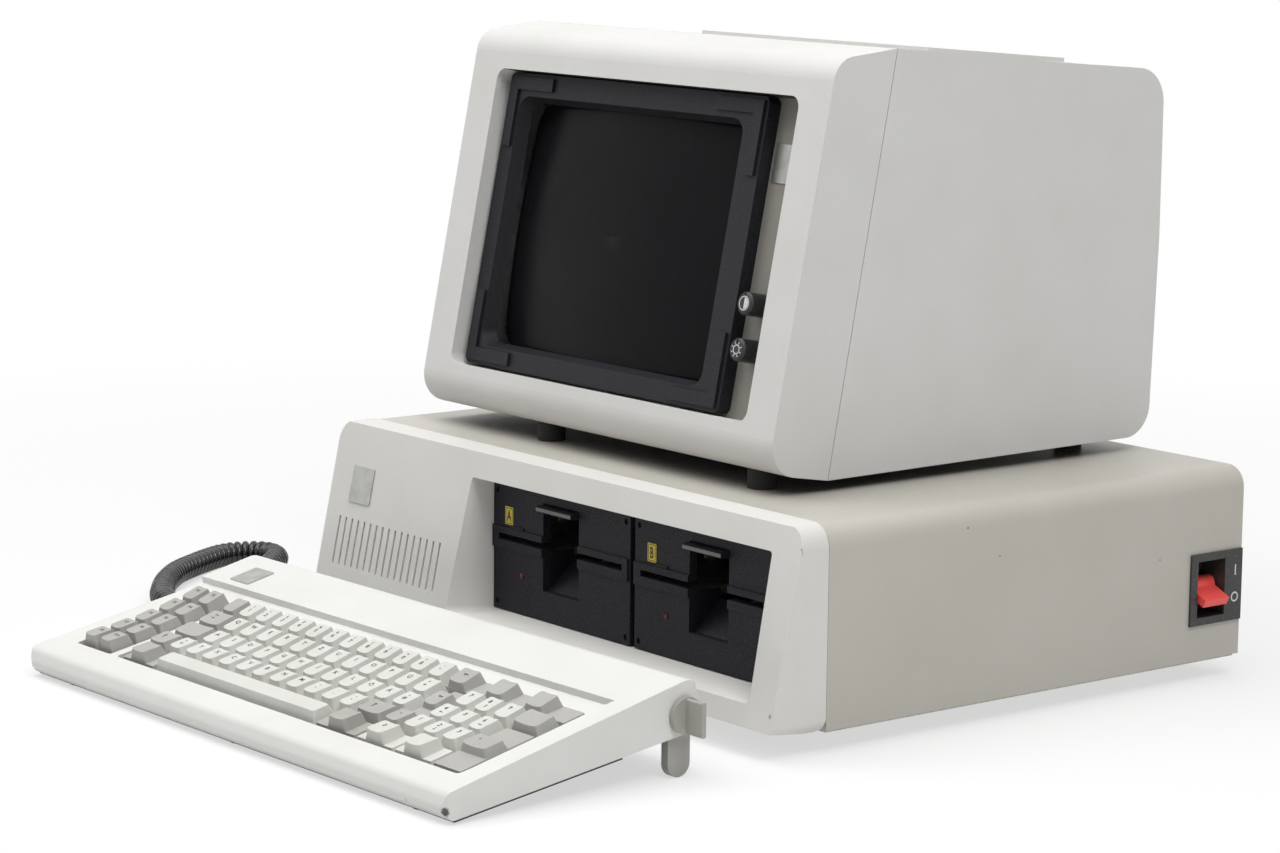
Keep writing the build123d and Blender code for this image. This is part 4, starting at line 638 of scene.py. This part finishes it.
def legendPiece(name, marks):  # marks: (x, row, units, shift, [(what, u, v, size)])
    vertices, faces = [], []
    low, high = keyFacts["sunk"], keyFacts["proud"]
    for x, row, units, shift, signs in marks:
        place = crownOf(x, row, units, shift)
        for what, u, v, size in signs:
            if isinstance(what, int):  # an arrow, turned so many quarters from left
                outline = [(a + u, b + v) for a, b in turned(arrowOutline, what, size)]
                solidFrom(place, outline, low, high, vertices, faces)
            else:
                writeGlyph(place, what, u, v, size, low, high, vertices, faces)
    addPiece(name + "_legends", vertices, faces, finishes["legend"], name)


pitch, mainLeft = layout["pitch"], keyFacts["mainLeft"]
letter, small = keyFacts["letter"], keyFacts["small"]


def rowMarks(texts, offset, row):
    marks = []
    for i, text in enumerate(texts):
        if len(text) == 1:
            signs = [(text, *keyFacts["single"], letter)]
        else:
            signs = [(text[1], *keyFacts["upper"], small), (text[0], *keyFacts["lower"], letter)]
        marks.append((mainLeft + pitch * (offset + i), row, 1.0, 0.0, signs))
    return marks


# each row: its signs, how many keys its first one stands in from the left, and the row's number
letterRows = {
    "number_keys": (["1!", '2"', "3\u00a7", "4$", "5%", "6&", "7/", "8(", "9)", "0=", "\u00df?", "'`"],
                    1.5, 4),
    "upper_letter_keys": (["Q", "W", "E", "R", "T", "Z", "U", "I", "O", "P", "\u00dc", "+*"], 2.0, 3),
    "home_letter_keys": (["A", "S", "D", "F", "G", "H", "J", "K", "L", "\u00d6", "\u00c4", "#^"],
                         2.25, 2),
    "lower_letter_keys": (["<>", "Y", "X", "C", "V", "B", "N", "M", ",;", ".:", "-_"], 1.75, 1),
}
for rowName, (texts, offset, row) in letterRows.items():
    legendPiece(rowName, rowMarks(texts, offset, row))
legendPiece("function_keys", [
    (keyFacts["functionLeft"] + pitch * (0.5 + i), row, 1.0, 0.0,
     [("F" + str(9 - 2 * row + i), -1.6, 2.8, 2.6)]) for row in range(5) for i in range(2)])
padSigns = {(3, 0): ("7", None), (3, 1): ("8", 3), (3, 2): ("9", None), (2, 0): ("4", 0), (2, 1): ("5", None),
            (2, 2): ("6", 2), (1, 0): ("1", None), (1, 1): ("2", 1), (1, 2): ("3", None)}
padMarks = []
for (row, i), (digit, arrow) in padSigns.items():
    signs = [(digit, -2.4, 2.8, letter)]
    if arrow is not None:
        signs.append((arrow, -1.2, -2.2, 0.85))
    padMarks.append((keyFacts["padLeft"] + pitch * (0.5 + i), row, 1.0, 0.0, signs))
for x, text in ((keyFacts["padLeft"], "0"), (keyFacts["padLeft"] + 2 * pitch, ".")):
    size = letter if text == "0" else 1.2
    padMarks.append((x, 0, 1.15, 0.0, [(text, *keyFacts["single"], size)]))
legendPiece("keypad_keys", padMarks)
legendPiece("keypad_sign_keys", [
    (keyFacts["signLeft"] + pitch * 0.75, 3, 1.5, 0.0, [("-", -5.0, 2.0, 1.1)]),
    (keyFacts["signLeft"] + pitch * 0.75, 1, 1.5, 0.0, [("+", -5.0, 2.2, 2.6)])])
legendPiece("left_grey_keys", [
    (mainLeft + pitch * 0.75, 3, 1.5, 0.0, [(0, -4.2, 3.2, 0.95), (2, -4.2, -0.4, 0.95)]),
    (mainLeft + pitch * 0.625, 1, 1.25, 0.0, [(3, -4.0, 1.6, 1.2)])])
legendPiece("right_grey_keys", [
    (mainLeft + pitch * 13.0, 1, 1.5, 0.0, [(3, -5.0, 1.6, 1.2)]),
    (mainLeft + pitch * 14.25, 1, 1.0, 0.0, [("*", -2.2, 2.0, 2.2)])])
legendPiece("lock_keys", [(mainLeft + pitch * 13.7, 4, 1.15, 0.0, [(0, -1.0, 1.6, 1.15)])])
legendPiece("enter_key", [(mainLeft + pitch * 14.25, 3, 1.0, -pitch / 2, [(0, -0.6, 2.2, 1.1)])])
print("legends on the keys")


# contrast and brightness signs on the ends of the display's knobs, in mm
displayFacts = {
    "footY": 67.8, "footZ": 19.6, "browY": 119.4, "browZ": 276.3, "middleZ": 150.0,
    "knobX": 137.0, "contrastT": -29.6, "brightnessT": -59.3, "knobFront": -3.0,
    "sunk": -0.1, "proud": 0.07,
    "discRing": (4.1, 4.75), "discRadius": 3.75,
    "sunRing": (2.5, 3.15), "rays": 8, "rayFrom": 3.6, "rayTo": 5.1, "rayHalf": 0.3,
}


def displayFace(x, t, n):
    facts = displayFacts
    angle = atan2(facts["browY"] - facts["footY"], facts["browZ"] - facts["footZ"])
    y = facts["footY"] + (facts["middleZ"] - facts["footZ"]) * tan(angle)
    origin = Vector((layout["displayX"], layout["unitY"] + y, layout["displayZ"] + facts["middleZ"]))
    out, up = Vector((0, -cos(angle), sin(angle))), Vector((0, sin(angle), cos(angle)))
    return (origin + Vector((x, 0, 0)) + up * t + out * n) / 1000


def knobSign(name, t, draw):
    front = displayFacts["knobFront"]
    vertices, faces = [], []

    def place(u, v, w):
        return displayFace(displayFacts["knobX"] + u, t + v, front + w)
    draw(place, displayFacts, vertices, faces)
    addPiece(name + "_sign", vertices, faces, finishes["symbol"], name)


def contrastSign(place, facts, vertices, faces):
    ringFrom(place, *facts["discRing"], facts["sunk"], facts["proud"], vertices, faces)
    radius, steps = facts["discRadius"], 20
    halfDisc = [(radius * sin(pi * i / steps), -radius * cos(pi * i / steps)) for i in range(steps + 1)]
    solidFrom(place, halfDisc, facts["sunk"], facts["proud"], vertices, faces)


def brightnessSign(place, facts, vertices, faces):
    ringFrom(place, *facts["sunRing"], facts["sunk"], facts["proud"], vertices, faces)
    bar = box2(facts["rayFrom"], facts["rayTo"], -facts["rayHalf"], facts["rayHalf"])
    for i in range(facts["rays"]):
        angle = pi * (i + 0.5) / (facts["rays"] / 2)
        c, s = cos(angle), sin(angle)
        ray = [(u * c - v * s, u * s + v * c) for u, v in bar]
        solidFrom(place, ray, facts["sunk"], facts["proud"], vertices, faces)


knobSign("contrast_knob", displayFacts["contrastT"], contrastSign)
knobSign("brightness_knob", displayFacts["brightnessT"], brightnessSign)

# A and B labels and the pale lip of each drive's lever, in the unit's mm
driveFacts = {
    "left": -84.0, "pitch": 154.2, "face": 38.0, "labelLeft": 13.1, "labelWidth": 8.8, "labelLow": 93.1,
    "labelHeight": 12.1, "notchMiddle": 75.0, "leverHalf": 19.1, "leverZ": 110.4,
    "labelCorner": 0.8, "labelThick": (-0.1, 0.25), "inkThick": (0.15, 0.32),
    "frameInside": (1.1, 0.5), "frameOutside": (0.7, 0.7),  # inset and corner radius of the printed frame
    "letterHeight": 7.4, "letterWide": 0.66,
    "lipInset": 0.2, "lipBelow": 1.25, "lipAbove": 1.1, "lipCorner": 0.5, "lipThick": (6.5, 6.72),
}


def onDrive(x, z, out):
    return desk(x, driveFacts["face"] - out, z)


def insetBox(u0, u1, v0, v1, inset, corner):
    return roundBox(u0 + inset, u1 - inset, v0 + inset, v1 - inset, corner)


for k, (name, text) in enumerate((("drive_a", "A"), ("drive_b", "B"))):
    left = driveFacts["left"] + k * driveFacts["pitch"]
    u0, v0 = left + driveFacts["labelLeft"], driveFacts["labelLow"]
    u1, v1 = u0 + driveFacts["labelWidth"], v0 + driveFacts["labelHeight"]
    vertices, faces = [], []
    label = roundBox(u0, u1, v0, v1, driveFacts["labelCorner"])
    solidFrom(onDrive, label, *driveFacts["labelThick"], vertices, faces)
    addPiece(name + "_label", vertices, faces, finishes["label_yellow"], "system_unit")
    vertices, faces = [], []
    inner = insetBox(u0, u1, v0, v1, *driveFacts["frameInside"])
    outer = insetBox(u0, u1, v0, v1, *driveFacts["frameOutside"])
    for i in range(len(inner)):
        j = (i + 1) % len(inner)
        side = [inner[i], outer[i], outer[j], inner[j]]
        solidFrom(onDrive, side, *driveFacts["inkThick"], vertices, faces)
    writeGlyph(onDrive, text, (u0 + u1) / 2, (v0 + v1) / 2, driveFacts["letterHeight"],
               *driveFacts["inkThick"], vertices, faces, wide=driveFacts["letterWide"])
    addPiece(name + "_letter", vertices, faces, finishes["legend"], "system_unit")
    middle, half, inset = left + driveFacts["notchMiddle"], driveFacts["leverHalf"], driveFacts["lipInset"]
    vertices, faces = [], []
    lip = roundBox(middle - half + inset, middle + half - inset,
                   driveFacts["leverZ"] - driveFacts["lipBelow"],
                   driveFacts["leverZ"] + driveFacts["lipAbove"], driveFacts["lipCorner"])
    solidFrom(onDrive, lip, *driveFacts["lipThick"], vertices, faces)
    addPiece(name + "_lever_lip", vertices, faces, finishes["lever_lip"], name + "_lever")

# on and off signs beside the red paddle, in the unit's mm
switchFacts = {
    "side": 251.7, "barY": 402.8, "barZ": 72.5, "barHalfWide": 0.55, "barHalfTall": 3.6, "barCorner": 0.3,
    "ringZ": 54.2, "ring": (2.4, 3.4), "thick": (-0.1, 0.08),
}


def onSwitch(y, z, out):
    return desk(switchFacts["side"] + out, y, z)


def aroundRing(u, v, out):
    return onSwitch(switchFacts["barY"] + u, switchFacts["ringZ"] + v, out)


vertices, faces = [], []
barWide, barTall = switchFacts["barHalfWide"], switchFacts["barHalfTall"]
switchBar = roundBox(switchFacts["barY"] - barWide, switchFacts["barY"] + barWide,
                     switchFacts["barZ"] - barTall, switchFacts["barZ"] + barTall, switchFacts["barCorner"])
solidFrom(onSwitch, switchBar, *switchFacts["thick"], vertices, faces)
ringFrom(aroundRing, *switchFacts["ring"], *switchFacts["thick"], vertices, faces)
addPiece("switch_signs", vertices, faces, finishes["symbol"], "system_unit")
print("signs and labels made")


# floor, sky and lamps, in metres and watts
studioFacts = {
    "floorSize": 12.0, "floorDrop": 0.0003, "floorWhite": 0.8, "showThrough": 0.6, "clearFrom": 0.55,
    "clearTo": 1.5, "horizon": 0.02, "sky": 0.8, "horizonEnds": 0.25, "skyStarts": 0.9,
    "lampAim": (0, 0, 0.2),
    "lamps": {  # place, size, power
        "topLamp": ((-0.3, -0.3, 2.5), 2.0, 27.0),
        "keyLamp": ((-1.3, -1.5, 2.4), 1.2, 16.0),
        "sideLamp": ((1.8, -0.5, 2.4), 1.2, 30.0),
    },
}


def seenRay(tree):  # 1 for the camera and for what metal and glass show of the background
    path = tree.nodes.new("ShaderNodeLightPath")
    total = path.outputs["Is Camera Ray"]
    for key in ("Is Glossy Ray", "Is Transmission Ray"):
        join = tree.nodes.new("ShaderNodeMath")
        join.operation = "MAXIMUM"
        tree.links.new(total, join.inputs[0])
        tree.links.new(path.outputs[key], join.inputs[1])
        total = join.outputs[0]
    return total


def makeFloor(facts):
    half = facts["floorSize"] / 2
    mesh = bpy.data.meshes.new("studioFloor")
    corners = [(-half, -half, 0), (half, -half, 0), (half, half, 0), (-half, half, 0)]
    mesh.from_pydata(corners, [], [(0, 1, 2, 3)])
    floor = bpy.data.objects.new("studioFloor", mesh)
    floor.location.z = -facts["floorDrop"]
    bpy.context.scene.collection.objects.link(floor)
    material = bpy.data.materials.new("studioFloor")
    material.use_nodes = True
    tree = material.node_tree
    tree.nodes.clear()
    out = tree.nodes.new("ShaderNodeOutputMaterial")
    matte = tree.nodes.new("ShaderNodeBsdfDiffuse")
    matte.inputs["Color"].default_value = (facts["floorWhite"],) * 3 + (1,)
    glow = tree.nodes.new("ShaderNodeEmission")
    glow.inputs["Strength"].default_value = 1.0
    coords = tree.nodes.new("ShaderNodeTexCoord")
    reach = tree.nodes.new("ShaderNodeVectorMath")
    reach.operation = "LENGTH"
    tree.links.new(coords.outputs["Object"], reach.inputs[0])
    fade = spread(tree, reach.outputs["Value"], facts["clearFrom"], facts["clearTo"],
                  facts["showThrough"], 1.0)
    both = tree.nodes.new("ShaderNodeMath")
    both.operation = "MULTIPLY"
    tree.links.new(fade, both.inputs[0])
    tree.links.new(seenRay(tree), both.inputs[1])
    mix = tree.nodes.new("ShaderNodeMixShader")
    tree.links.new(both.outputs[0], mix.inputs[0])
    tree.links.new(matte.outputs[0], mix.inputs[1])
    tree.links.new(glow.outputs[0], mix.inputs[2])
    tree.links.new(mix.outputs[0], out.inputs[0])
    mesh.materials.append(material)


def makeSky(facts):
    world = bpy.data.worlds.new("studioSky")
    world.use_nodes = True
    tree = world.node_tree
    background = tree.nodes["Background"]
    background.inputs["Color"].default_value = (1, 1, 1, 1)
    coords = tree.nodes.new("ShaderNodeTexCoord")
    split = tree.nodes.new("ShaderNodeSeparateXYZ")
    tree.links.new(coords.outputs["Generated"], split.inputs[0])
    height = spread(tree, split.outputs["Z"], facts["horizonEnds"], facts["skyStarts"],
                    facts["horizon"], facts["sky"])
    level = tree.nodes.new("ShaderNodeMix")
    tree.links.new(seenRay(tree), level.inputs["Factor"])
    tree.links.new(height, level.inputs["A"])
    level.inputs["B"].default_value = 1.0
    tree.links.new(level.outputs["Result"], background.inputs["Strength"])
    bpy.context.scene.world = world


def softLamp(name, place, aim, size, power):
    data = bpy.data.lights.new(name, "AREA")
    data.shape, data.size, data.energy = "SQUARE", size, power
    lamp = bpy.data.objects.new(name, data)
    bpy.context.scene.collection.objects.link(lamp)
    lamp.location = place
    lamp.rotation_euler = (Vector(aim) - Vector(place)).to_track_quat("-Z", "Y").to_euler()


makeFloor(studioFacts)
makeSky(studioFacts)
for lampName, (place, size, power) in studioFacts["lamps"].items():
    softLamp(lampName, place, studioFacts["lampAim"], size, power)
print("studio set")
